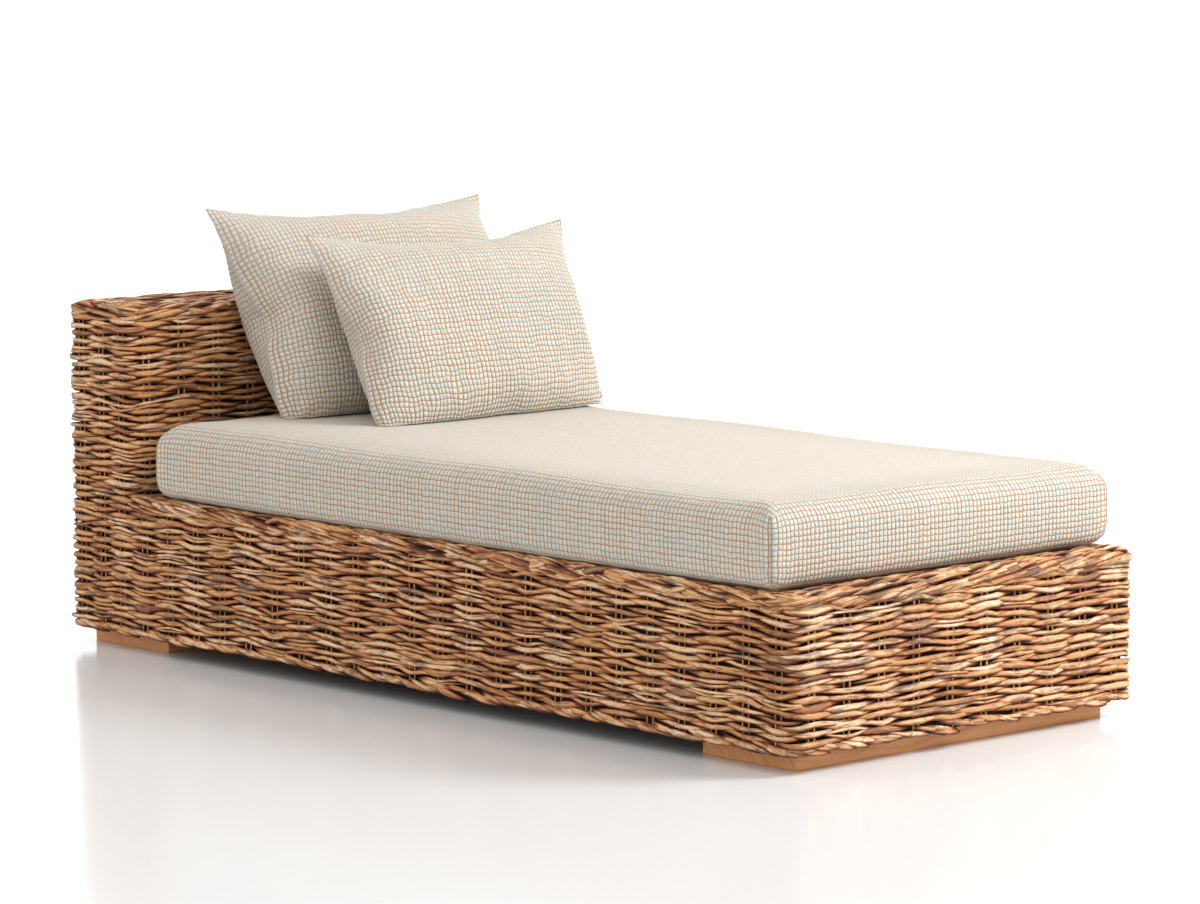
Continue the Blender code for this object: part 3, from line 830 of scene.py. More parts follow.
@dataclass(frozen=True)
class ThreadFinish:
    """Sewing thread and seam piping: twisted yarn in one colour."""

    name: str
    colour: Colour
    twists: float = 900.0
    relief: float = 0.0004

    def material(self) -> Material:
        """Build the material.

        Returns:
            The thread material.
        """
        material, graph, shader = new_material(self.name)
        twist = graph.noise(graph.add("ShaderNodeTexCoord").outputs["Object"], self.twists, 2.0)
        colour = graph.mix(twist, dimmed(self.colour, 0.6), self.colour)
        graph.paint(shader, colour, graph.line(twist, 0.2, 0.7))
        graph.relief(shader, twist, 0.6, self.relief)
        return material


PLINTH_WOOD = WoodFinish("plinth_wood", light=(0.86, 0.41, 0.165), mid=(0.76, 0.325, 0.110),
                         dark=(0.52, 0.195, 0.062), roughness=0.42)
FRAME_TIMBER = WoodFinish("frame_timber", light=(0.060, 0.034, 0.020), mid=(0.042, 0.023, 0.013),
                          dark=(0.022, 0.012, 0.007), roughness=0.7)
SPLIT_CANE = CaneFinish("split_cane")
PLAITED_CANE = CaneFinish("plaited_cane", weathered=0.15, relief=0.0022)
MATTRESS_CLOTH = ClothFinish("mattress_cloth", rise=0.0108, plain_top_and_light_wash=0.85, plain_from=0.055, plain_to=0.26)
# On the pillows the plain share is a painted wash of light over their upper part.
PILLOW_CLOTH = ClothFinish("pillow_cloth", rise=0.0113, plain_top_and_light_wash=0.45, plain_from=0.22, plain_to=0.56,
                           wobble=0.0006)
SEAM_THREAD = ThreadFinish("seam_thread", (0.40, 0.27, 0.16))
PILLOW_PIPING = ThreadFinish("pillow_piping", (0.62, 0.52, 0.40))


@dataclass
class Weave:
    """Sizes and tones that all the cane of the lounger shares."""

    row_pitch: float = 0.0078
    strand_width: float = 0.0116
    width_spread: float = 0.16
    foot_width: float = 1.12
    strand_thickness: float = 0.0068
    over: float = -0.0034
    behind: float = -0.0142
    depth_spread: float = 0.0006
    level_spread: float = 0.0011
    slope: float = -0.0008
    slope_spread: float = 0.0020
    wave: float = 0.0014
    twist: float = math.radians(13)
    drift: float = 0.0016
    reach: tuple[float, float] = (1.22, 1.42)
    split_share: float = 0.14
    split_places: Points = ((-0.30, 0.62), (0.30, 0.62))
    split_thickness: float = 0.82
    long_share: float = 0.12
    long_stretch: tuple[float, float] = (1.4, 1.9)
    long_lift: float = 0.0022
    corner_loop: float = 0.0085
    corner_reach: float = 0.030
    stake_depth: float = -0.0082
    stake_width: float = 0.0045
    stake_spread: float = 0.0072
    stake_sway: float = 0.0008
    # Painted shade: a dark lining of broad strips behind the weave, in place of the shade inside the walls.
    shade_lining_depth: float = -0.0172
    shade_lining_width: float = 0.026
    shade_lining_start: float = 0.012
    shade_lining_pitch: float = 0.021
    # Painted light: the palest tone on the lit foot end, and on the shaded sides and headboard.
    lit_foot_tone: float = 0.96
    shaded_side_tone: float = 0.90
    tone_below: float = 0.20
    tone_spread: float = 0.16
    tone_clouds: float = 0.11
    darkest: float = 0.2
    bark_share: float = 0.07
    bark_darker: float = 0.32
    aged_share: float = 0.09

    def tone(self, rng: Random, cloud: float, palest: float = 0.95) -> tuple[float, float]:
        """Draw a strand's colour.

        Args:
            rng: Source of the random draws.
            cloud: How much paler this part of the wall is.
            palest: The palest tone here.

        Returns:
            The tone, from dark to pale, and the age, from new to weathered.
        """
        bark = self.bark_darker * float(rng.random() < self.bark_share)
        drawn = rng.normal(palest - self.tone_below, self.tone_spread) + cloud - bark
        age = float(rng.random() < self.aged_share) * float(rng.uniform(0.5, 1.0))
        return float(np.clip(drawn, self.darkest, palest)), age


@dataclass(kw_only=True)
class CaneWork:
    """What all work in cane along an outline needs."""

    weave: Weave
    outline: Outline
    cloud: Wander
    rng: Random


@dataclass(kw_only=True)
class WovenBelt(CaneWork):
    """Rows of split cane round an outline: each passes in front of one stake and behind the next."""

    bays: tuple[tuple[tuple[float, int], ...], ...]
    first_row: int
    rows: int
    row_start: float
    stake_low: float
    stake_high: float
    wander: Wander

    def stakes(self) -> Array:
        """Distances of the stakes along the outline."""
        places, reached = [], 0.0
        for side in self.bays:
            for length, count in side:
                places.append(reached + length * (np.arange(count) + 0.5) / count)
                reached += length
        return np.concatenate(places)

    def near_corner(self, along: Array) -> Array:
        """How near places along the outline are to its corners, from nought far off to one."""
        ends = np.cumsum(self.outline.runs())
        half = ends[-1] / 2
        off = np.abs(np.mod(along[:, None] - ends + half, 2 * half) - half).min(axis=1)
        return np.exp(-(off / self.weave.corner_reach) ** 2)

    def weave_into(self, bundles: Bundles) -> None:
        """Add every strand and stake to the bundle of the side that it is on.

        Args:
            bundles: The bundle of each side.
        """
        self.line(bundles)
        stakes = self.stakes()
        count, length = len(stakes), self.outline.length()
        for number in range(count):
            self.stake(stakes[number], bundles[self.outline.side_at(stakes[number])])
        for row in range(self.first_row, self.first_row + self.rows):
            for number in range(row % 2, count, 2):
                here = stakes[number]
                before = stakes[number - 1] - (length if number == 0 else 0.0)
                after = stakes[(number + 1) % count] + (length if number == count - 1 else 0.0)
                self.over_stake(row, (before, here, after), bundles[self.outline.side_at(here)])

    def line(self, bundles: Bundles) -> None:
        """Put painted shade behind the wall: broad dark strips that stand in for the shade inside it and keep the
        gaps dark.

        Args:
            bundles: The bundle of each side.
        """
        weave, reached = self.weave, 0.0
        for side, run in zip(Side, self.outline.runs()):
            along = np.linspace(reached, reached + run - 1e-6, int(run / SHADE_LINING_STEP) + 2)
            reached += run
            for level in np.arange(self.stake_low + weave.shade_lining_start, self.stake_high, weave.shade_lining_pitch):
                spine, normal = self.outline.off(along, weave.shade_lining_depth, level)
                bundles[side].add(shade_lining(spine, normal, weave.shade_lining_width))

    def over_stake(self, row: int, stakes: Triple, bundle: Bundle) -> None:
        """Add the length of cane that passes over one stake, split in two now and then.

        Args:
            row: Number of the row.
            stakes: The stake before, the stake itself and the stake after.
            bundle: Where the strands go.
        """
        rng, weave = self.rng, self.weave
        before, here, after = stakes
        at_foot = self.outline.side_at(here) is Side.FOOT
        split = rng.random() < weave.split_share
        width = weave.strand_width * math.exp(rng.normal(0, weave.width_spread))
        width *= weave.foot_width if at_foot else 1.0
        thickness = weave.strand_thickness * (weave.split_thickness if split else 1.0)
        # Painted light: paler cane on the lit foot end than on the shaded sides.
        palest = weave.lit_foot_tone if at_foot else weave.shaded_side_tone
        level = self.row_start + row * weave.row_pitch + rng.normal(0, weave.level_spread)
        slope = rng.normal(weave.slope, weave.slope_spread)
        longer = rng.random() < weave.long_share
        stretch = rng.uniform(*weave.long_stretch) if longer else 1.0
        proud = weave.over + (weave.long_lift if longer else 0.0)
        turn = rng.uniform(0.25, 1.0) * weave.corner_loop
        for offset, share in weave.split_places if split else ((0.0, 1.0),):
            reach = 1.0 if longer else rng.uniform(*weave.reach)
            t = np.linspace(-reach, reach, 17)
            along = here + stretch * np.where(t < 0, t * (here - before), t * (after - here))
            blend = np.clip(0.5 + 0.5 * np.cos(math.pi * np.clip(t, -1, 1)), 0, 1) ** 0.75
            depth = weave.behind + (proud - weave.behind) * blend + rng.normal(0, weave.depth_spread)
            depth += turn * self.near_corner(along) * blend ** 0.5
            height = level + self.wander(along, level) + offset * width + slope * t
            height += rng.normal(0, weave.wave) * np.cos(rng.uniform(1.2, 2.4) * math.pi * t)
            spine, normal = self.outline.off(along, depth, height)
            tone, age = weave.tone(rng, float(self.cloud(here, level)), palest)
            taper = 0.32 + 0.68 * blend ** (0.6 if longer else rng.uniform(0.55, 0.95))
            lump = 1 + 0.09 * np.sin(t * rng.uniform(4, 9) + rng.uniform(0, 6))
            lump += 0.06 * np.sin(t * rng.uniform(12, 20) + rng.uniform(0, 6))
            twist = rng.normal(0, weave.twist) + rng.normal(0, weave.twist) * t
            # Painted shade grows towards the strand's ends, where it dives behind the stakes.
            bundle.add(Strand(spine, normal, width * share * taper * lump, thickness * (0.55 + 0.45 * taper),
                              twist, (1 - blend) ** 1.9, tone, age))

    def stake(self, place: float, bundle: Bundle) -> None:
        """Add the pair of thin upright canes at one stake.

        Args:
            place: Distance of the stake along the outline.
            bundle: Where the canes go.
        """
        rng, weave = self.rng, self.weave
        t = np.linspace(0, 1, 26)
        height = self.stake_low + (self.stake_high - self.stake_low) * t
        for side in (-1, 1):
            sway = weave.stake_sway * np.sin(t * rng.uniform(6, 14) + rng.uniform(0, 6))
            along = place + side * weave.stake_spread + sway
            spine, normal = self.outline.off(along, weave.stake_depth, height)
            size = np.full_like(t, weave.stake_width * rng.uniform(0.85, 1.15))
            # The stakes carry a little painted shade.
            bundle.add(Strand(spine, normal, size, size, np.zeros_like(t), np.full_like(t, 0.12),
                              float(rng.uniform(0.62, 0.92)), 0.0))


@dataclass(kw_only=True)
class TwistedEdge(CaneWork):
    """Strands laid slanting over each other, like a rope, along an edge of the weave."""

    level: float
    spacing: float = 0.017
    scatter: float = 0.009
    reach: float = 0.048
    width: float = 0.0108
    drop: float = 0.0070
    sunk: float = 0.0125
    swell: float = 0.0105
    depth_spread: float = 0.0008
    level_spread: float = 0.0022
    scallop: float = 0.0026
    scallop_pitch: float = 0.081

    def lay_into(self, bundles: Bundles) -> None:
        """Add the strands to the bundle of the side that they are on.

        Args:
            bundles: The bundle of each side.
        """
        rng, outline = self.rng, self.outline
        t = np.linspace(-1, 1, 13)
        bow = np.cos(0.5 * math.pi * t)
        for place in np.arange(0.0, outline.length(), self.spacing):
            place += rng.normal(0, self.scatter)
            along = place + self.reach * rng.uniform(0.85, 1.15) * t
            depth = -self.sunk + self.swell * bow ** 0.8 + rng.normal(0, self.depth_spread)
            height = self.level - self.scallop * math.cos(2 * math.pi * place / self.scallop_pitch)
            height = height - self.drop * rng.uniform(0.1, 1.4) * t + rng.normal(0, self.level_spread)
            spine, normal = outline.off(along, depth, height)
            tone, age = self.weave.tone(rng, float(self.cloud(place, self.level)))
            width = self.width * rng.uniform(0.75, 1.25) * (0.42 + 0.58 * bow ** 0.8)
            twist = rng.normal(0, 0.25) + 0.35 * t
            # Painted shade grows towards the strand's ends, where they dive under their neighbours.
            bundles[outline.side_at(place)].add(Strand(spine, normal, width, 0.72 * width, twist,
                                                       (1 - bow) ** 1.2, tone, age))


@dataclass(kw_only=True)
class RolledEdge(CaneWork):
    """A plaited border: wide strands that slant up the outside of an edge, over it and in."""

    section: Array
    foot_section: Array
    start: float = 0.0
    end: float | None = None
    spacing: float = 0.0038
    scatter: float = 0.004
    slant: float = 0.95
    width: float = 0.0118
    crossing: float = 0.10
    crossing_lean: float = -0.6
    sunk: float = 0.0095
    lift: tuple[float, float] = (0.0085, 0.0120)
    darker: float = 0.07
    foot_fade: float = 0.08
    end_taper: float = 0.003
    # Painted shade: broad dark strips under the plait, in place of the shade beneath it.
    rim_shade_lining_width: float = 0.021
    shortest_shade_lining: float = 0.02

    @staticmethod
    def read(section: Array, share: Array) -> Array:
        """Read a section of the border.

        Args:
            section: Insets and heights of the section's points.
            share: How far over the border, from nought at its outer foot to one at its inner end.

        Returns:
            Inset, height, and the outward and upward parts of the surface's normal, one row each.
        """
        steps = np.linalg.norm(np.diff(section, axis=0), axis=1)
        travel = np.concatenate([[0.0], np.cumsum(steps)])
        travel /= travel[-1]
        ahead = unit(np.gradient(section, axis=0))
        columns = (section[:, 0], section[:, 1], ahead[:, 1], ahead[:, 0])
        return np.stack([np.interp(share, travel, column) for column in columns])

    def across(self, along: Array, share: Array) -> Array:
        """Read the border's section, which changes towards the foot end.

        Args:
            along: Distances along the outline.
            share: How far over the border, from nought to one.

        Returns:
            The same rows as read gives.
        """
        right, foot = self.outline.runs()[:2]
        off = np.abs(along - right - foot / 2) - foot / 2
        at_foot = np.clip(0.5 - off / self.foot_fade, 0, 1)
        return (1 - at_foot) * self.read(self.section, share) + at_foot * self.read(self.foot_section, share)

    def over(self, along: Array, share: Array, lift: Array) -> tuple[Array, Array, Array]:
        """Find places on the border.

        Args:
            along: Distances along the outline.
            share: How far over the border, from nought to one.
            lift: How far the places stand off the border's surface.

        Returns:
            The places, the surface's normals there and the surface's heights.
        """
        inset, height, outward, upward = self.across(along, share)
        spine, face = self.outline.off(along, -inset, height)
        face *= outward[:, None]
        face[:, 2] = upward
        return spine + face * lift[:, None], face, height

    def lay_into(self, bundles: Bundles) -> None:
        """Add the plait's strands to the bundle of the side that they are on.

        Args:
            bundles: The bundle of each side.
        """
        end = self.outline.length() if self.end is None else self.end
        self.line(bundles, end)
        count = int((end - self.start) / self.spacing)
        for place in np.linspace(self.start, end, count):
            lean = self.crossing_lean if self.rng.random() < self.crossing else 1.0
            if self.outline.side_at(place) is Side.FOOT:
                lean = -lean
            self.strand(place + self.rng.normal(0, self.scatter), lean, bundles, end)

    def line(self, bundles: Bundles, end: float) -> None:
        """Put painted shade under the border's plait: broad dark strips that stand in for the shade beneath it.

        Args:
            bundles: The bundle of each side.
            end: Where the border ends.
        """
        reached = 0.0
        for side, run in zip(Side, self.outline.runs()):
            first, last = max(reached, self.start), min(reached + run - 1e-6, end)
            reached += run
            if last - first < self.shortest_shade_lining:
                continue
            along = np.linspace(first, last, int((last - first) / SHADE_LINING_STEP) + 2)
            even = np.ones_like(along)
            for share in np.linspace(0.06, 0.94, 7):
                spine, face, _ = self.over(along, share * even, -self.sunk * even)
                bundles[side].add(shade_lining(spine, face, self.rim_shade_lining_width))

    def strand(self, place: float, lean: float, bundles: Bundles, end: float) -> None:
        """Add one strand of the plait, which comes up from under its neighbours and dives again.

        Args:
            place: Distance of its middle along the outline.
            lean: Which way and how much it slants.
            bundles: The bundle of each side.
            end: Where the border ends.
        """
        rng = self.rng
        t = np.linspace(0, 1, 13)
        share = rng.uniform(-0.10, 0.86) + rng.uniform(0.11, 0.20) * t
        along = place - lean * self.slant * rng.uniform(0.75, 1.25) * (share - share.mean())
        if self.end is not None:
            along = np.clip(along, self.start + self.end_taper * t, end - self.end_taper * t)
        bow = np.sin(math.pi * t) ** 0.8
        lift = -self.sunk + rng.uniform(*self.lift) * bow
        spine, face, height = self.over(along, share, lift)
        tone, age = self.weave.tone(rng, float(self.cloud(place, height[0])) - self.darker)
        width = self.width * rng.uniform(0.7, 1.25) * (0.45 + 0.55 * bow)
        twist = rng.normal(0, 0.18) + rng.normal(0, 0.25) * t
        side = self.outline.side_at(float(np.clip(place, self.start + 1e-4, end - 1e-4)))
        # Painted shade grows towards the strand's ends, where it dives under its neighbours.
        bundles[side].add(Strand(spine, face, width, 0.62 * width, twist, (1 - bow) ** 1.5, tone, age))


@dataclass(kw_only=True)
class CapTop(CaneWork):
    """Long flat rows that close the top of the headboard under its plait."""

    level: float
    margin: float = 0.022
    pitch: float = 0.0098
    run: float = 0.150
    first_run: float = 0.06
    edge: float = 0.01
    scatter: float = 0.002
    slant: float = 0.007
    sunk: float = 0.0065
    rise: float = 0.0085
    rise_reach: float = 0.030
    dive: float = 0.004
    width: float = 0.0165
    thickness: float = 0.005

    def lay_into(self, bundle: Bundle) -> None:
        """Add the rows, which rise in the middle to where the plait's ends meet.

        Args:
            bundle: The bundle of the cap.
        """
        rng = self.rng
        low, high = self.outline.low, self.outline.high
        middle = (low[0] + high[0]) / 2
        t = np.linspace(-1, 1, 9)
        bow = 0.45 + 0.55 * np.cos(0.5 * math.pi * t)
        out = np.tile((0.0, 0.0, 1.0), (len(t), 1))
        for x in np.arange(low[0] + self.margin, high[0] - self.margin, self.pitch):
            level = self.level - self.sunk + self.rise * math.exp(-((x - middle) / self.rise_reach) ** 2)
            first = low[1] + self.margin + rng.uniform(0, self.first_run)
            for y in np.arange(first, high[1] - self.margin, self.run * 0.5):
                across = x + rng.normal(0, self.scatter) + self.slant * t * rng.normal()
                along = np.clip(y + t * self.run * 0.6, low[1] + self.edge, high[1] - self.edge) + 1e-5 * t
                spine = np.stack([across, along, level - self.dive * t ** 2], axis=-1)
                tone, age = self.weave.tone(rng, 0.0)
                # Painted shade grows towards the row's ends.
                bundle.add(Strand(spine, out, self.width * bow, self.thickness * bow, np.zeros_like(t),
                                  0.06 + 0.30 * t ** 2, tone, age))


@dataclass
class CaneSkin:
    """All the cane of the lounger: woven walls, plaited borders and the rolled cap of the headboard.

    The points of a border's section are insets from the outline and rises over the border's top.
    """

    weave: Weave
    split: Material
    plaited: Material
    seed: int = 41
    corner_radius: float = 0.022
    first_row_above_skirt: float = 0.0195
    edge_above_skirt: float = 0.0060
    spare_rows: int = 3
    bays_end: int = 10
    bays_cheek: int = 3
    bays_side: int = 23
    stake_into_cap: float = 0.01
    rim_gap: float = 0.004
    rim_overhang: float = 0.02
    rim_points: Points = ((0.006, -0.022), (0.001, -0.015), (0.0, -0.003), (0.012, 0.0050), (0.034, -0.002))
    rim_end: float = -0.005
    foot_points: Points = ((0.006, -0.022), (0.001, -0.014), (0.0, -0.001), (0.018, 0.0110), (0.044, 0.0090))
    foot_end: float = -0.006
    cap_points: Points = ((0.006, -0.024), (0.001, -0.016), (0.0, -0.003), (0.010, 0.0015), (0.050, 0.002))
    cap_end: float = 0.0030
    cap_short_of_middle: float = 0.006
    rng: Random = field(init=False)
    skirt: float = field(init=False)
    row_start: float = field(init=False)
    rim_low: float = field(init=False)
    rim_high: float = field(init=False)
    rim_width: float = field(init=False)
    cap_low: float = field(init=False)
    cap_high: float = field(init=False)
    base: Outline = field(init=False)
    headboard: Outline = field(init=False)
    wander: Wander = field(init=False)
    cloud: Wander = field(init=False)

    def __post_init__(self) -> None:
        """Read the outlines and levels from the frame."""
        self.rng = np.random.default_rng(self.seed)
        foot_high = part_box("foot_end_weave")[1]
        right_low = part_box("right_side_weave")[0]
        back_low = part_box("head_back_weave")[0]
        front_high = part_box("headboard_front_weave")[1]
        cap_low, cap_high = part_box("headboard_cap")
        border_low, border_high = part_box("right_border")
        self.skirt = right_low.z
        self.rim_low, self.rim_high = border_low.z, border_high.z
        self.rim_width = border_high.y - border_low.y
        self.cap_low, self.cap_high = cap_low.z, cap_high.z
        half_y = -right_low.y
        self.base = Outline((back_low.x, -half_y), (foot_high.x, half_y), self.corner_radius)
        self.headboard = Outline((back_low.x, -half_y), (front_high.x, half_y), self.corner_radius)
        self.row_start = self.skirt + self.first_row_above_skirt
        length = self.base.length()
        self.wander = Wander.drawn(self.rng, self.weave.drift, length)
        self.cloud = Wander.drawn(self.rng, self.weave.tone_clouds, length)

    def build(self) -> list[Piece]:
        """Make every cane piece.

        Returns:
            The pieces, dressed and tied to the frame.
        """
        walls = ("right_side", "foot_end", "left_side", "head_back",
                 "headboard_right_cheek", "headboard_front", "headboard_left_cheek")
        edges = ("right_border", "foot_border", "left_border", "headboard_cap")
        bundles = {name: Bundle(self.rng) for name in walls + edges}
        base = {side: bundles[name] for side, name in zip(Side, walls[:4])}
        upper = {side: bundles[name] for side, name in zip(Side, walls[4:] + walls[3:4])}
        rim = {side: bundles[name] for side, name in zip(Side, edges[:3] + edges[:1])}
        self.walls_into(base, upper)
        self.edges_into(base, rim, bundles["headboard_cap"])
        pieces = []
        for name in walls:
            pieces.append(bundles[name].build(f"{name}_cane"))
            dress(pieces[-1], self.split, "lounger", "split_cane", f"{name}_weave")
        for name in edges:
            pieces.append(bundles[name].build(f"{name}_plait"))
            dress(pieces[-1], self.plaited, "lounger", "plaited_cane", name)
        return pieces

    def shared(self) -> dict[str, object]:
        """What every kind of cane work takes from the skin."""
        return {"weave": self.weave, "cloud": self.cloud, "rng": self.rng}

    def walls_into(self, base: Bundles, upper: Bundles) -> None:
        """Weave the walls of the base and of the headboard.

        Args:
            base: Bundles of the base's sides.
            upper: Bundles of the headboard's sides.
        """
        cheek, end = self.headboard.runs()[:2]
        side = self.base.runs()[0] - cheek
        pitch = self.weave.row_pitch
        base_rows = int((self.rim_low - self.row_start) / pitch) + self.spare_rows
        upper_rows = int((self.cap_low - self.row_start) / pitch) + self.spare_rows - base_rows
        cheeks, sides, ends = (cheek, self.bays_cheek), (side, self.bays_side), (end, self.bays_end)
        base_bays = ((cheeks, sides), (ends,), (sides, cheeks), (ends,))
        upper_bays = ((cheeks,), (ends,), (cheeks,), (ends,))
        shared = self.shared() | {"row_start": self.row_start, "wander": self.wander}
        WovenBelt(outline=self.base, bays=base_bays, first_row=0, rows=base_rows, stake_low=self.skirt,
                  stake_high=self.rim_low, **shared).weave_into(base)
        WovenBelt(outline=self.headboard, bays=upper_bays, first_row=base_rows, rows=upper_rows,
                  stake_low=self.rim_low, stake_high=self.cap_low + self.stake_into_cap,
                  **shared).weave_into(upper)

    def edges_into(self, base: Bundles, rim: Bundles, cap: Bundle) -> None:
        """Lay the twisted bottom edge, the rim round the deck and the headboard's cap.

        Args:
            base: Bundles of the base's sides.
            rim: Bundles of the deck's borders.
            cap: Bundle of the headboard's cap.
        """
        shared = self.shared()
        TwistedEdge(outline=self.base, level=self.skirt + self.edge_above_skirt, **shared).lay_into(base)
        cheek = float(self.headboard.runs()[0])
        deck_end = float(self.base.runs()[:3].sum()) - cheek
        inner = self.rim_width + self.rim_overhang
        RolledEdge(outline=self.base,
                   section=self.section(self.rim_high, self.rim_points, inner, self.rim_end),
                   foot_section=self.section(self.rim_high, self.foot_points, inner, self.foot_end),
                   start=cheek + self.rim_gap, end=deck_end - self.rim_gap, **shared).lay_into(rim)
        inner = (self.headboard.high[0] - self.headboard.low[0]) / 2 - self.cap_short_of_middle
        section = self.section(self.cap_high, self.cap_points, inner, self.cap_end)
        RolledEdge(outline=self.headboard, section=section, foot_section=section,
                   **shared).lay_into({side: cap for side in Side})
        CapTop(outline=self.headboard, level=self.cap_high, **shared).lay_into(cap)

    @staticmethod
    def section(top: float, points: Points, inner: float, end: float) -> Array:
        """Round off a border's section, which ends at an inner inset and an end rise."""
        return rounded_line([(inset, top + rise) for inset, rise in (*points, (inner, end))])


def values_of(items: bpy.types.bpy_prop_collection, key: str, width: int = 1,
              kind: type = np.float32) -> Array:
    """Read one property of all the items of a mesh.

    Args:
        items: The items, such as the mesh's points.
        key: The property.
        width: How many numbers it has.
        kind: What kind of numbers they are.

    Returns:
        The numbers, with a row for each item.
    """
    numbers = np.empty(len(items) * width, dtype=kind)
    items.foreach_get(key, numbers)
    return numbers.reshape(-1, width)


def points_of(mesh: bpy.types.Mesh) -> Array:
    """The places of a mesh's points."""
    return values_of(mesh.vertices, "co", 3).astype(float)


def move_points(mesh: bpy.types.Mesh, places: Array) -> None:
    """Give a mesh's points new places."""
    mesh.vertices.foreach_set("co", places.astype(np.float32).ravel())
    mesh.update()


def surface_of(piece: Piece) -> BVHTree:
    """The surface of a piece, to be hit by rays or searched."""
    return BVHTree.FromPolygons([v.co for v in piece.data.vertices],
                                [p.vertices[:] for p in piece.data.polygons])


@dataclass(frozen=True)
class Filling:
    """A stuffing that blows a closed cover up, as a cloth simulation."""

    pressure: float
    frames: int
    stiffness: float
    bending: float
    quality: int = 6
    mass: float = 0.3

    def blow_up(self, piece: Piece, pins: str = "") -> Array:
        """Simulate a cover.

        Args:
            piece: The cover, which is left as it was.
            pins: Vertex group that stays in place.

        Returns:
            The places that its points move to.
        """
        scene = bpy.context.scene
        cloth = piece.modifiers.new("filling", "CLOTH")
        settings = cloth.settings
        settings.quality = self.quality
        settings.mass = self.mass
        settings.tension_stiffness = self.stiffness
        settings.compression_stiffness = self.stiffness
        settings.shear_stiffness = self.stiffness / 2
        settings.bending_stiffness = self.bending
        settings.use_pressure = True
        settings.uniform_pressure_force = self.pressure
        settings.vertex_group_mass = pins
        settings.effector_weights.gravity = 0.0
        cloth.collision_settings.use_collision = False
        cloth.point_cache.frame_start = 1
        cloth.point_cache.frame_end = self.frames
        for number in range(1, self.frames + 1):
            scene.frame_set(number)
        places = points_of(piece.evaluated_get(bpy.context.evaluated_depsgraph_get()).data)
        piece.modifiers.remove(cloth)
        scene.frame_set(1)
        return places


def relax(places: Array, edges: Array, rounds: int, still: Array) -> Array:
    """Even out small crumples.

    Args:
        places: The places of a mesh's points.
        edges: The numbers of the two points that each edge joins.
        rounds: How often each point moves half way to the middle of its neighbours.
        still: Which points stay where they are.

    Returns:
        The new places.
    """
    count = np.maximum(np.bincount(edges.ravel(), minlength=len(places)), 1)[:, None]
    for _ in range(rounds):
        total = np.zeros_like(places)
        np.add.at(total, edges[:, 0], places[edges[:, 1]])
        np.add.at(total, edges[:, 1], places[edges[:, 0]])
        places = np.where(still[:, None], places, 0.5 * places + 0.5 * total / count)
    return places


def crumpled(rng: Random, shape: tuple[int, int], rounds: int = 12) -> Array:
    """A grid of short, soft random waves that are about one high.

    Args:
        rng: Source of the random draws.
        shape: Size of the grid.
        rounds: How often each place is evened out with its neighbours.

    Returns:
        The heights of the waves.
    """
    waves = rng.normal(size=shape)
    for _ in range(rounds):
        waves = waves + sum(np.roll(waves, step, axis) for step in (-1, 1) for axis in (0, 1))
        waves /= 5
    return waves / waves.std()


def slid(surface: Array, shift: Array) -> Array:
    """Slide the points of a grid along the surface that they lie on.

    Args:
        surface: Places of the points.
        shift: How far each one moves along the two ways of the grid, in steps of the grid.

    Returns:
        The new places.
    """
    last = np.array(surface.shape[:2])[:, None, None] - 1.001
    spot = np.clip(np.indices(surface.shape[:2]) + shift, 0, last)
    i, j = spot.astype(int)
    first, second = (spot - (i, j))[..., None]
    near = surface[i, j] * (1 - first) + surface[i + 1, j] * first
    far = surface[i, j + 1] * (1 - first) + surface[i + 1, j + 1] * first
    return near * (1 - second) + far * second


def smoother(piece: Piece, levels: int) -> None:
    """Shade a piece smooth and subdivide it."""
    piece.data.shade_smooth()
    finer = piece.modifiers.new("finer", "SUBSURF")
    finer.levels = levels
    finer.render_levels = levels


def cord(name: str, lines: list[Array], thickness: float, closed: bool) -> Piece:
    """A sewn cord along one or more lines.

    Args:
        name: Name of the piece.
        lines: The points of each line.
        thickness: Diameter of the cord.
        closed: Whether each line ends where it starts.

    Returns:
        The cord, as a curve object.
    """
    curve = bpy.data.curves.new(name, "CURVE")
    curve.dimensions = "3D"
    curve.bevel_depth = thickness / 2
    curve.bevel_resolution = 2
    curve.use_fill_caps = True
    for line in lines:
        spline = curve.splines.new("POLY")
        spline.points.add(len(line) - 1)
        spline.points.foreach_set("co", np.hstack([line, np.ones((len(line), 1))]).ravel())
        spline.use_cyclic_u = closed
    return placed(name, curve)


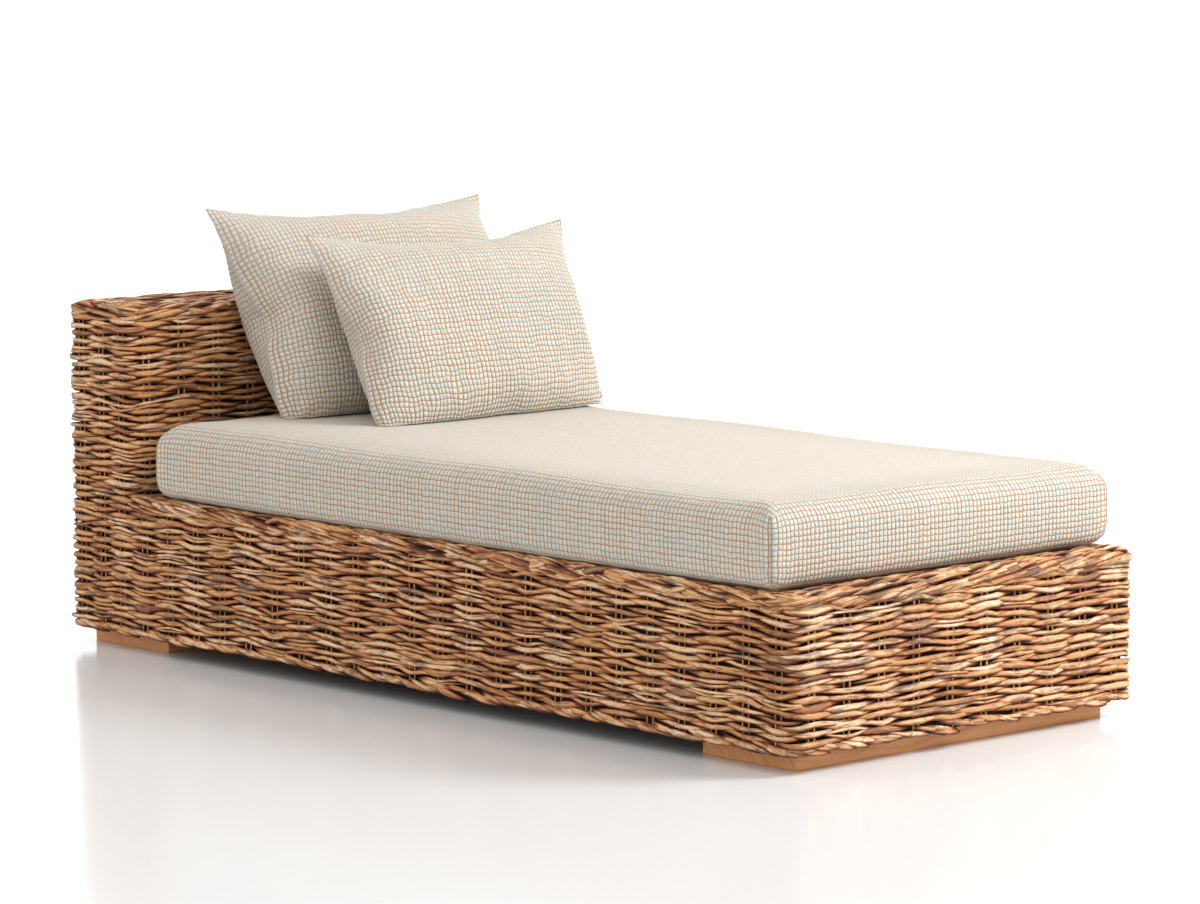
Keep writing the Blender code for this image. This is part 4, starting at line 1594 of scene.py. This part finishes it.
@dataclass
class Mattress:
    """The foam mattress in its fitted check cover, with a sewn seam at each upright corner."""

    cloth: Material
    thread: Material
    filling: Filling = Filling(pressure=3.2, frames=18, stiffness=12.0, bending=0.8)
    slack: float = 0.005
    radius: float = 0.042
    corner_power: float = 5.0
    hem_power: float = 3.6
    step: float = 0.017
    round_steps: int = 4
    swell: float = 0.010
    seam: float = 0.0020
    seam_sunk: float = 0.30
    seam_above: float = 0.02
    seam_below: float = 0.022
    seam_points: int = 26
    seam_search: float = 0.09
    top_room: float = 0.0015
    seat_room: float = 0.0005
    belly: float = 0.004
    side_band: float = 0.05
    side_fade: float = 0.04
    fold_waves: float = 38.0
    fold_depth: float = 0.0020
    fold_height: float = 0.42
    slump: float = 0.0022
    corner_drop: float = 0.009
    corner_reach: float = 0.07
    low: Vector = field(init=False)
    high: Vector = field(init=False)
    middle: Vector = field(init=False)
    half: Vector = field(init=False)
    cover: Array = field(init=False)

    def __post_init__(self) -> None:
        """Read the mattress's box from the frame."""
        self.low, self.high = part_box("mattress_cover")
        self.middle = (self.low + self.high) / 2
        self.half = (self.high - self.low) / 2
        self.cover = np.array(self.half) - self.slack

    def build(self) -> list[Piece]:
        """Make the mattress and its seams.

        Returns:
            The pieces, dressed and tied to the frame.
        """
        piece = self.box("mattress_cushion")
        self.inflate(piece)
        self.finish_shape(piece)
        seams = self.seams(piece)
        smoother(piece, 1)
        dress(piece, self.cloth, "mattress", "mattress_cloth", "mattress_cover", "mattress_core")
        dress(seams, self.thread, "mattress", "mattress_cloth")
        return [piece, seams]

    def ticks(self, axis: int) -> Array:
        """Places of the grid lines along one axis, closer together where the edge is round."""
        flat = self.cover[axis] - self.radius
        count = max(2, round(2 * flat / self.step))
        middle = np.linspace(-flat, flat, count + 1)
        edge = flat + self.radius * np.tan(np.linspace(0, math.pi / 4, self.round_steps + 1)[1:])
        return np.concatenate([-edge[::-1], middle, edge])

    def unrolled(self, places: Array, axis: int) -> Array:
        """Distances along the cloth, measured over the round edge."""
        flat = self.cover[axis] - self.radius
        past = np.maximum(np.abs(places) - flat, 0)
        rolled = np.minimum(np.abs(places), flat) + self.radius * np.arctan(past / self.radius)
        return np.sign(places) * rolled

    def box(self, name: str) -> Piece:
        """A closed box of quads with round edges, which carries its cloth map.

        Args:
            name: Name of the piece.

        Returns:
            The new object.
        """
        bm = bmesh.new()
        layer = bm.loops.layers.uv.new(CLOTH_MAP)
        for axis in range(3):
            for sign in (-1, 1):
                self.panel(bm, layer, axis, sign)
        bmesh.ops.remove_doubles(bm, verts=bm.verts, dist=1e-5)
        bmesh.ops.recalc_face_normals(bm, faces=bm.faces)
        mesh = bpy.data.meshes.new(name)
        bm.to_mesh(mesh)
        bm.free()
        mesh.transform(Matrix.Translation(self.middle))
        return placed(name, mesh)

    def panel(self, bm: bmesh.types.BMesh, layer: bmesh.types.BMLayerItem, axis: int, sign: int) -> None:
        """Add one side of the box.

        Args:
            bm: The mesh that is filled.
            layer: Its cloth map.
            axis: Axis that the side faces.
            sign: Which of the two sides it is.
        """
        first, second = (k for k in range(3) if k != axis)
        rows, columns = self.ticks(first), self.ticks(second)
        flat = self.cover - self.radius
        corners, verts = {}, {}
        for i, a in enumerate(rows):
            for j, b in enumerate(columns):
                place = np.zeros(3)
                place[axis], place[first], place[second] = sign * self.cover[axis], a, b
                core = np.clip(place, -flat, flat)
                verts[i, j] = bm.verts.new(core + self.squared(unit(place - core)) * self.radius)
                corners[i, j] = place
        for i in range(len(rows) - 1):
            for j in range(len(columns) - 1):
                keys = ((i, j), (i + 1, j), (i + 1, j + 1), (i, j + 1))
                face = bm.faces.new([verts[key] for key in keys])
                cloth = self.cloth_map(np.array([corners[key] for key in keys]), axis)
                for loop, place in zip(face.loops, cloth):
                    loop[layer].uv = place

    def squared(self, outward: Array) -> Array:
        """Push a direction from the core out towards a square upright corner and a tighter lower edge.

        Args:
            outward: Unit direction from the core of the box to its rounded skin.

        Returns:
            The direction, somewhat longer at upright corners and at the lower edge.
        """
        power = self.corner_power
        flat = np.abs(outward[:2])
        reach = np.linalg.norm(flat)
        if reach > 1e-6:
            flat = flat * reach / (flat ** power).sum() ** (1 / power)
        bent = np.array([*np.sign(outward[:2]) * flat, outward[2]])
        if bent[2] < 0:
            power = self.hem_power
            level, drop = np.linalg.norm(bent[:2]), -bent[2]
            bent *= math.hypot(level, drop) / (level ** power + drop ** power) ** (1 / power)
        return bent

    def cloth_map(self, corners: Array, axis: int) -> Array:
        """Where the corners of a face lie on the cloth.

        Args:
            corners: The face's corners on the square box.
            axis: Axis that the face's side faces.

        Returns:
            Distances along and up the cloth.
        """
        rolled = np.stack([self.unrolled(corners[:, k], k) for k in range(3)], axis=-1)
        edge = [self.unrolled(self.cover[k], k) for k in range(3)]
        if axis != 2:
            return np.stack([rolled[:, 1 - axis], rolled[:, 2]], axis=-1)
        room = self.cover[:2] - np.abs(corners[:, :2].mean(axis=0))
        near = int(np.argmin(room))
        up = edge[2] + edge[near] - np.abs(rolled[:, near])
        return np.stack([rolled[:, 1 - near], np.sign(corners[0, 2]) * up], axis=-1)

    def inflate(self, piece: Piece) -> None:
        """Swell the cover over its foam by a cloth simulation, no further than the swell."""
        start = points_of(piece.data)
        floor = start[:, 2].min()
        pins = piece.vertex_groups.new(name="bottom")
        pins.add(np.flatnonzero(start[:, 2] < floor + 1e-4).tolist(), 1.0, "REPLACE")
        moved = self.filling.blow_up(piece, pins.name) - start
        far = np.linalg.norm(moved, axis=1, keepdims=True)
        move_points(piece.data, start + moved * np.minimum(1, self.swell / np.maximum(far, 1e-9)))
        piece.vertex_groups.remove(pins)

    def finish_shape(self, piece: Piece) -> None:
        """Seat the underside, keep the top clear of the pillows and draw small folds in at the hem.

        Args:
            piece: The mattress.
        """
        places = points_of(piece.data)
        height = (places[:, 2] - self.low.z) / (self.high.z - self.low.z)
        level = np.clip(height, 0, 1)
        centre, half = np.array(self.middle)[:2], np.array(self.half)[:2]
        off = places[:, :2] - centre
        travel = self.fold_waves * (places[:, 0] + places[:, 1])
        folds = np.sin(travel + 2.1 * np.sin(0.31 * travel)) * np.sin(0.47 * travel + 1.0)
        folds *= np.clip(1 - height / self.fold_height, 0, 1) ** 1.5
        bulge = self.belly * (1 - (2 * level - 1) ** 2) - self.fold_depth * folds
        side = np.clip((np.abs(off) - half + self.side_band) / self.side_fade, 0, 1)
        places[:, :2] += side * np.sign(off) * bulge[:, None]
        to_corner = np.linalg.norm(np.maximum(half - np.abs(off), 0), axis=1)
        places[:, 2] -= self.corner_drop * np.exp(-(to_corner / self.corner_reach) ** 2) * level ** 2
        slump = np.sin(9 * places[:, 0] + 2 * np.sin(7 * places[:, 1])) * level ** 4 - 1
        places[:, 2] += self.slump * slump
        places[:, 2] = np.clip(places[:, 2], self.low.z + self.seat_room, self.high.z - self.top_room)
        reach = np.abs(places[:, :2] - centre).max(axis=0)
        places[:, :2] = centre + (places[:, :2] - centre) * half / reach
        move_points(piece.data, places)

    def seams(self, piece: Piece) -> Piece:
        """A cord along each upright corner, just proud of the cloth.

        Args:
            piece: The mattress.

        Returns:
            The four seams as one piece.
        """
        surface = surface_of(piece)
        levels = np.linspace(self.low.z + self.seam_above, self.high.z - self.seam_below, self.seam_points)
        lines = []
        for sign_x, sign_y in ((-1, -1), (-1, 1), (1, -1), (1, 1)):
            out = Vector((sign_x, sign_y, 0)).normalized()
            x = self.middle.x + sign_x * (self.half.x - self.seam_search)
            y = self.middle.y + sign_y * (self.half.y - self.seam_search)
            hits = [surface.ray_cast(Vector((x, y, level)), out)[0] for level in levels]
            lines.append(np.array([hit - out * self.seam * self.seam_sunk for hit in hits]))
        return cord("mattress_corner_seams", lines, self.seam, closed=False)


@dataclass
class Pillow:
    """A stuffed pillow with a knife edge: two sheets of check cloth sewn together and blown up."""

    node: str
    body: str
    size: Triple
    cloth: Material
    thread: Material
    lean: float
    seed: int = 0
    filling: Filling = Filling(pressure=2.2, frames=14, stiffness=14.0, bending=0.25)
    fill: float = 0.75
    spare: tuple[float, float] = (0.34, 0.30)
    bow: tuple[float, float] = (0.024, 0.056)
    lens: float = 0.012
    crease: float = 0.75
    ear: float = 0.014
    ear_power: float = 5.0
    lower_ear: float = -1.5
    smoothing: int = 6
    pucker: float = 0.0034
    pucker_power: int = 14
    gather: float = 0.0065
    gather_place: float = 0.050
    gather_reach: float = 0.034
    gather_folds: int = 12
    cell: tuple[float, float] = (0.0101, 0.0113)
    puff: float = 0.0014
    wobble: float = 0.0012
    still_points: int = 9
    sink: float = 0.020
    twist: float = math.radians(3.6)
    clear: float = 0.0025
    search: float = 0.12
    seam: float = 0.0030

    def build(self, rests_on: float, obstacles: list[Piece]) -> list[Piece]:
        """Make the pillow and its seam.

        Args:
            rests_on: Height of the surface that it stands on.
            obstacles: Pieces that it leans on.

        Returns:
            The pieces, dressed and tied to the frame.
        """
        piece = self.sheets(f"{self.body}_cushion")
        shaped = self.filling.blow_up(piece)
        move_points(piece.data, self.set_in_place(self.drawn_out(piece.data, shaped)))
        self.settle(piece, rests_on, obstacles)
        seam = self.seam_cord(piece)
        self.puff_up(piece, rests_on)
        dress(piece, self.cloth, self.body, "pillow_cloth", self.node, self.node.replace("cover", "stuffing"))
        dress(seam, self.thread, self.body, "pillow_cloth")
        return [piece, seam]

    def cut(self) -> tuple[float, float]:
        """Width and height of the flat sheets."""
        depth, width, height = self.size
        return width + self.spare[0] * depth, height + self.spare[1] * depth

    def cells(self) -> list[int]:
        """How many cells of the check lie across and up a sheet, in whole fours."""
        return [4 * round(size / pitch / 4) for size, pitch in zip(self.cut(), self.cell)]

    def sheets(self, name: str) -> Piece:
        """Two flat sheets that share their edge, lying in the YZ plane, with three quads to four cells.

        Args:
            name: Name of the piece.

        Returns:
            The new object, with its cloth map and a crease along the seam.
        """
        cut, cells = self.cut(), self.cells()
        columns, rows = (3 * count // 4 for count in cells)
        bm = bmesh.new()
        layer = bm.loops.layers.uv.new(CLOTH_MAP)
        crease = bm.edges.layers.float.new("crease_edge")
        sheet = bm.verts.layers.float_vector.new(SHEET)
        for face_side in (-1, 1):
            grid = {}
            for i in range(columns + 1):
                for j in range(rows + 1):
                    u, v = 2 * i / columns - 1, 2 * j / rows - 1
                    bulge = self.lens * face_side * (1 - u * u) * (1 - v * v)
                    across = u * cut[0] / 2 * (1 + self.bow[0] * (1 - v * v))
                    up = v * cut[1] / 2 * (1 + self.bow[1] * (1 - u * u))
                    grid[i, j] = bm.verts.new((bulge, across, up))
                    grid[i, j][sheet] = (u, v, 0)
            for i in range(columns):
                for j in range(rows):
                    keys = [(i, j), (i + 1, j), (i + 1, j + 1), (i, j + 1)]
                    keys = keys if face_side > 0 else keys[::-1]
                    face = bm.faces.new([grid[key] for key in keys])
                    for loop, key in zip(face.loops, keys):
                        number = key[0] / columns * cells[0] + SHEET_APART * face_side
                        loop[layer].uv = (number * self.cell[0], key[1] / rows * cells[1] * self.cell[1])
        bmesh.ops.remove_doubles(bm, verts=bm.verts, dist=1e-6)
        for edge in bm.edges:
            sewn = all(max(abs(part) for part in vert[sheet]) > SEWN for vert in edge.verts)
            edge[crease] = self.crease if sewn else 0.0
        mesh = bpy.data.meshes.new(name)
        bm.to_mesh(mesh)
        bm.free()
        return placed(name, mesh)

    def drawn_out(self, mesh: bpy.types.Mesh, shaped: Array) -> Array:
        """Smooth the crumples, straighten the lower edge and draw the corners out into ears.

        Args:
            mesh: The two sheets.
            shaped: Its points as the filling leaves them.

        Returns:
            Its points with their final form.
        """
        across, up, _ = values_of(mesh.attributes[SHEET].data, "vector", 3).T
        edges = values_of(mesh.edges, "vertices", 2, np.int32)
        rim = np.maximum(np.abs(across), np.abs(up))
        sewn = rim > SEWN
        corner = np.minimum(np.abs(across), np.abs(up)) > SEWN
        shaped = relax(shaped, edges[sewn[edges].all(axis=1)], self.smoothing, corner | ~sewn)
        shaped = relax(shaped, edges, self.smoothing, sewn)
        hem = np.flatnonzero(up < -SEWN)
        hem = hem[np.argsort(across[hem])]
        drop = shaped[hem, 2].min() - np.interp(across, across[hem], shaped[hem, 2])
        shaped[:, 2] += drop * np.clip(-up, 0, 1) ** 3
        ear = self.ear * np.abs(across * up) ** self.ear_power * np.where(up > 0, 1.0, self.lower_ear)
        cut = self.cut()
        aside, above = (1 - np.abs(across)) * cut[0] / 2, (1 + up) * cut[1] / 2
        near = np.exp(-((np.hypot(aside, above) - self.gather_place) / self.gather_reach) ** 2)
        crease = np.sin(self.gather_folds * np.arctan2(above, aside) + 1.3 * np.sign(across)) * near
        shaped[:, 0] += self.gather * crease * np.sign(shaped[:, 0])
        hemmed = rim ** self.pucker_power * (1 - np.abs(across * up) ** 3)
        wave = np.sin(31 * across + 1.7 * np.sin(9 * across)) + np.sin(23 * up + 2.0 * np.sin(7 * up))
        shaped[:, 0] += self.pucker * wave * hemmed * np.clip(2 + 2 * up, 0, 1)
        shaped[:, 1] += np.sign(across) * ear
        shaped[:, 2] += np.where(up > 0, ear, 0)
        return shaped

    def set_in_place(self, shaped: Array) -> Array:
        """Fit a blown up pillow to its size, lean it back and put it where the frame has it.

        Args:
            shaped: Its points as the filling leaves them.

        Returns:
            Its points in place.
        """
        low, high = shaped.min(axis=0), shaped.max(axis=0)
        fitted = (shaped - (low + high) / 2) * (np.array(self.size) / (high - low))
        box_low, box_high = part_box(self.node)
        turn = Matrix.Rotation(-self.lean, 3, "Y")
        places = fitted @ np.array(turn).T + np.array((box_low + box_high) / 2) - (0, 0, self.sink)
        share = fitted[:, 1] / (self.size[1] / 2)
        places[:, 0] += math.tan(self.twist) * share * (places[:, 2] - places[:, 2].min())
        return places

    def settle(self, piece: Piece, rests_on: float, obstacles: list[Piece]) -> None:
        """Press the pillow flat where it stands and keep it clear of what it leans on.

        Args:
            piece: The pillow.
            rests_on: Height of the surface that it stands on.
            obstacles: Pieces that it leans on.
        """
        places = points_of(piece.data)
        for other in obstacles:
            surface = surface_of(other)
            for number, place in enumerate(places):
                spot, normal, _, _ = surface.find_nearest(Vector(place), self.search)
                if spot is not None and (Vector(place) - spot).dot(normal) < self.clear:
                    places[number] = np.array(spot + normal * self.clear)
        places[:, 2] = np.maximum(places[:, 2], rests_on)
        move_points(piece.data, places)

    def puff_up(self, piece: Piece, rests_on: float) -> None:
        """Divide the cloth to three points a cell, let its threads wander and puff its cells up.

        Args:
            piece: The pillow.
            rests_on: Height of the surface that it stands on.
        """
        smoother(piece, 2)
        piece.modifiers["finer"].uv_smooth = "NONE"
        mesh = bpy.data.meshes.new_from_object(piece.evaluated_get(bpy.context.evaluated_depsgraph_get()))
        piece.modifiers.clear()
        piece.data = mesh
        rng = np.random.default_rng(self.seed)
        cells = np.array(self.cells())
        places = points_of(mesh)
        height = np.zeros(len(places))
        for grid in self.point_grids(mesh, cells):
            i, j = np.indices(grid.shape)
            rim = np.minimum(np.minimum(i, i[::-1]), np.minimum(j, j[:, ::-1]))
            free = np.clip(rim / self.still_points, 0, 1)
            shift = [crumpled(rng, grid.shape) * self.wobble * free / pitch * CELL_POINTS
                     for pitch in self.cell]
            places[grid] = slid(places[grid], np.array(shift))
            dome = [np.sin(math.pi * (k % CELL_POINTS) / CELL_POINTS) for k in (i, j)]
            puffs = rng.uniform(0.6, 1.3, cells + 1)[i // CELL_POINTS, j // CELL_POINTS]
            height[grid] = self.puff * (dome[0] * dome[1]) ** 0.55 * puffs
        move_points(mesh, places)
        places += values_of(mesh.vertex_normals, "vector", 3) * height[:, None]
        places[:, 2] = np.maximum(places[:, 2], rests_on)
        move_points(mesh, places)

    def point_grids(self, mesh: bpy.types.Mesh, cells: Array) -> list[Array]:
        """Find the points of the two divided sheets again, by their places on the cloth.

        Args:
            mesh: The divided pillow.
            cells: How many cells lie across and up a sheet.

        Returns:
            The numbers of the points of each sheet, as a grid.
        """
        spots = values_of(mesh.uv_layers[CLOTH_MAP].data, "uv", 2) / self.cell
        points = values_of(mesh.loops, "vertex_index", kind=np.int32).ravel()
        front = spots[:, 0] > 0
        spots[:, 0] -= np.where(front, SHEET_APART, -SHEET_APART)
        numbers = np.rint(CELL_POINTS * spots).astype(int)
        grids = []
        for face in (front, ~front):
            grid = np.zeros(CELL_POINTS * cells + 1, dtype=np.int32)
            grid[numbers[face, 0], numbers[face, 1]] = points[face]
            grids.append(grid)
        return grids

    def seam_cord(self, piece: Piece) -> Piece:
        """A cord round the edge where the two sheets are sewn together.

        Args:
            piece: The pillow.

        Returns:
            The seam.
        """
        mesh = piece.data
        crease = mesh.attributes["crease_edge"].data
        follow: dict[int, list[int]] = {}
        for edge in mesh.edges:
            if crease[edge.index].value > 0.1:
                a, b = edge.vertices
                follow.setdefault(a, []).append(b)
                follow.setdefault(b, []).append(a)
        start = min(follow)
        loop, last, here = [start], start, follow[start][0]
        while here != start:
            loop.append(here)
            last, here = here, next(n for n in follow[here] if n != last)
        return cord(f"{self.body}_seam", [points_of(mesh)[loop]], self.seam, closed=True)


@dataclass
class Timber:
    """The wooden parts, which keep their solids from the frame and get their finish here."""

    plinth: Material
    hidden: Material

    def dress(self) -> int:
        """Give each wooden node its material.

        Returns:
            How many nodes were dressed.
        """
        count = 0
        for part in frame["record"]["subparts"]:
            material = {"plinth_wood": self.plinth, "frame_timber": self.hidden}.get(part["material_slot"])
            if material:
                mesh = frame["nodes"][part["node"]].data
                mesh.materials.clear()
                mesh.materials.append(material)
                count += 1
        return count


@dataclass(frozen=True)
class Studio:
    """The pale floor, the soft lights and the camera."""

    camera_place: Triple = (7.1486, -6.6674, 1.6444)
    camera_heading: float = math.radians(43.247)
    camera_pitch: float = math.radians(7.010)
    lens: float = 152.3
    sensor: float = 36.0
    farthest: float = 200.0
    floor_size: float = 500.0
    floor_white: Colour = (0.82, 0.82, 0.815)
    floor_rough: float = 0.16
    floor_shine: float = 0.26
    key_place: Triple = (2.9, 2.4, 3.0)
    key_faces: Triple = (0.0, 0.0, 0.3)
    key_size: float = 1.5
    key_power: float = 160.0
    key_colour: Colour = (0.96, 0.98, 1.0)
    sky_low: float = 0.46
    sky_key: float = 0.97
    sky_key_from: Triple = (0.67, 0.20, 0.71)
    sky_backdrop: float = 1.5
    sky_backdrop_from: Triple = (-0.72, 0.69, 0.0)
    sky_fill: float = 0.86
    sky_fill_from: Triple = (-0.30, -0.90, 0.32)

    def build(self) -> None:
        """Set up the floor, the light, the sky and the camera."""
        self.floor()
        self.key_light()
        self.sky()
        bpy.context.scene.view_settings.view_transform = "Standard"
        self.camera()

    def sky(self) -> None:
        """A white studio tent that is brighter towards the foot end and overhead."""
        world = bpy.data.worlds.new("studio")
        world.use_nodes = True
        graph = Graph(world.node_tree)
        background = world.node_tree.nodes["Background"]
        seen = graph.add("ShaderNodeTexCoord").outputs["Generated"]
        power = self.sky_low
        for towards, start, added in ((self.sky_key_from, 0.35, self.sky_key),
                                      (self.sky_backdrop_from, 0.55, self.sky_backdrop),
                                      (self.sky_fill_from, 0.35, self.sky_fill)):
            off = graph.add("ShaderNodeVectorMath", {0: seen, 1: towards}, operation="DOT_PRODUCT")
            power = graph.line(graph.ease(off.outputs["Value"], start, 1.0), added, power)
        graph.feed(background.inputs["Color"], (1.0, 1.0, 1.0, 1.0))
        graph.feed(background.inputs["Strength"], power)
        bpy.context.scene.world = world

    def floor(self) -> None:
        """A wide, smooth pale floor."""
        mesh = bpy.data.meshes.new("floor")
        half = self.floor_size / 2
        corners = [(-half, -half, 0), (half, -half, 0), (half, half, 0), (-half, half, 0)]
        mesh.from_pydata(corners, [], [(0, 1, 2, 3)])
        material, graph, shader = new_material("pale_floor")
        cloud = graph.noise(graph.add("ShaderNodeTexCoord").outputs["Object"], 0.4, 1.0)
        colour = graph.mix(cloud, dimmed(self.floor_white, 0.995), self.floor_white)
        graph.paint(shader, colour, graph.line(cloud, 0.01, self.floor_rough))
        graph.feed(shader.inputs["Specular IOR Level"], self.floor_shine)
        mesh.materials.append(material)
        floor = placed("floor", mesh)

    def key_light(self) -> None:
        """Hang a square soft light that faces the lounger."""
        data = bpy.data.lights.new("key", "AREA")
        data.size = self.key_size
        data.energy = self.key_power
        data.color = self.key_colour
        light = placed("key", data)
        light.location = self.key_place
        ahead = Vector(self.key_faces) - Vector(self.key_place)
        light.rotation_euler = ahead.to_track_quat("-Z", "Y").to_euler()

    def camera(self) -> None:
        """Stand the camera where the photographer stood."""
        data = bpy.data.cameras.new("camera")
        data.lens = self.lens
        data.sensor_width = self.sensor
        data.sensor_fit = "HORIZONTAL"
        data.clip_end = self.farthest
        level = math.cos(self.camera_pitch)
        ahead = Vector((-math.cos(self.camera_heading) * level, math.sin(self.camera_heading) * level,
                        -math.sin(self.camera_pitch)))
        camera = placed("camera", data)
        camera.location = self.camera_place
        camera.rotation_euler = ahead.to_track_quat("-Z", "Y").to_euler()
        bpy.context.scene.camera = camera


def pillow_lean() -> float:
    """The angle at which the pillows lean back, from the back pillow's slide."""
    axis = next(joint["axis"] for joint in frame["joints"] if joint["name"] == "back_pillow_lift")
    return math.atan2(-axis[0], axis[2])


def main() -> None:
    """Build and dress every sub-assembly in order."""
    logging.basicConfig(level=logging.INFO, format="%(name)s: %(message)s")
    effects = Effects.made()
    Studio().build()
    count = Timber(PLINTH_WOOD.material(effects), FRAME_TIMBER.material(effects)).dress()
    LOG.info("%d wooden nodes dressed", count)

    pieces = CaneSkin(Weave(), SPLIT_CANE.material(effects), PLAITED_CANE.material(effects)).build()
    thread, piping = SEAM_THREAD.material(), PILLOW_PIPING.material()
    pieces += Mattress(MATTRESS_CLOTH.material(effects), thread).build()
    shared = {"cloth": PILLOW_CLOTH.material(effects), "thread": piping, "lean": pillow_lean()}
    back = Pillow("back_pillow_cover", "back_pillow", (0.245, 0.687, 0.480), seed=61, **shared)
    front = Pillow("front_pillow_cover", "front_pillow", (0.180, 0.644, 0.434), seed=62, **shared)
    rests_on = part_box("mattress_cover")[1].z + PILLOW_ROOM
    back_pieces = back.build(rests_on, [frame["nodes"]["headboard_cap"]])
    pieces += back_pieces + front.build(rests_on, back_pieces[:1])
    for piece in pieces:
        LOG.info("%s made", piece.name)


if __name__ == "__main__":
    main()
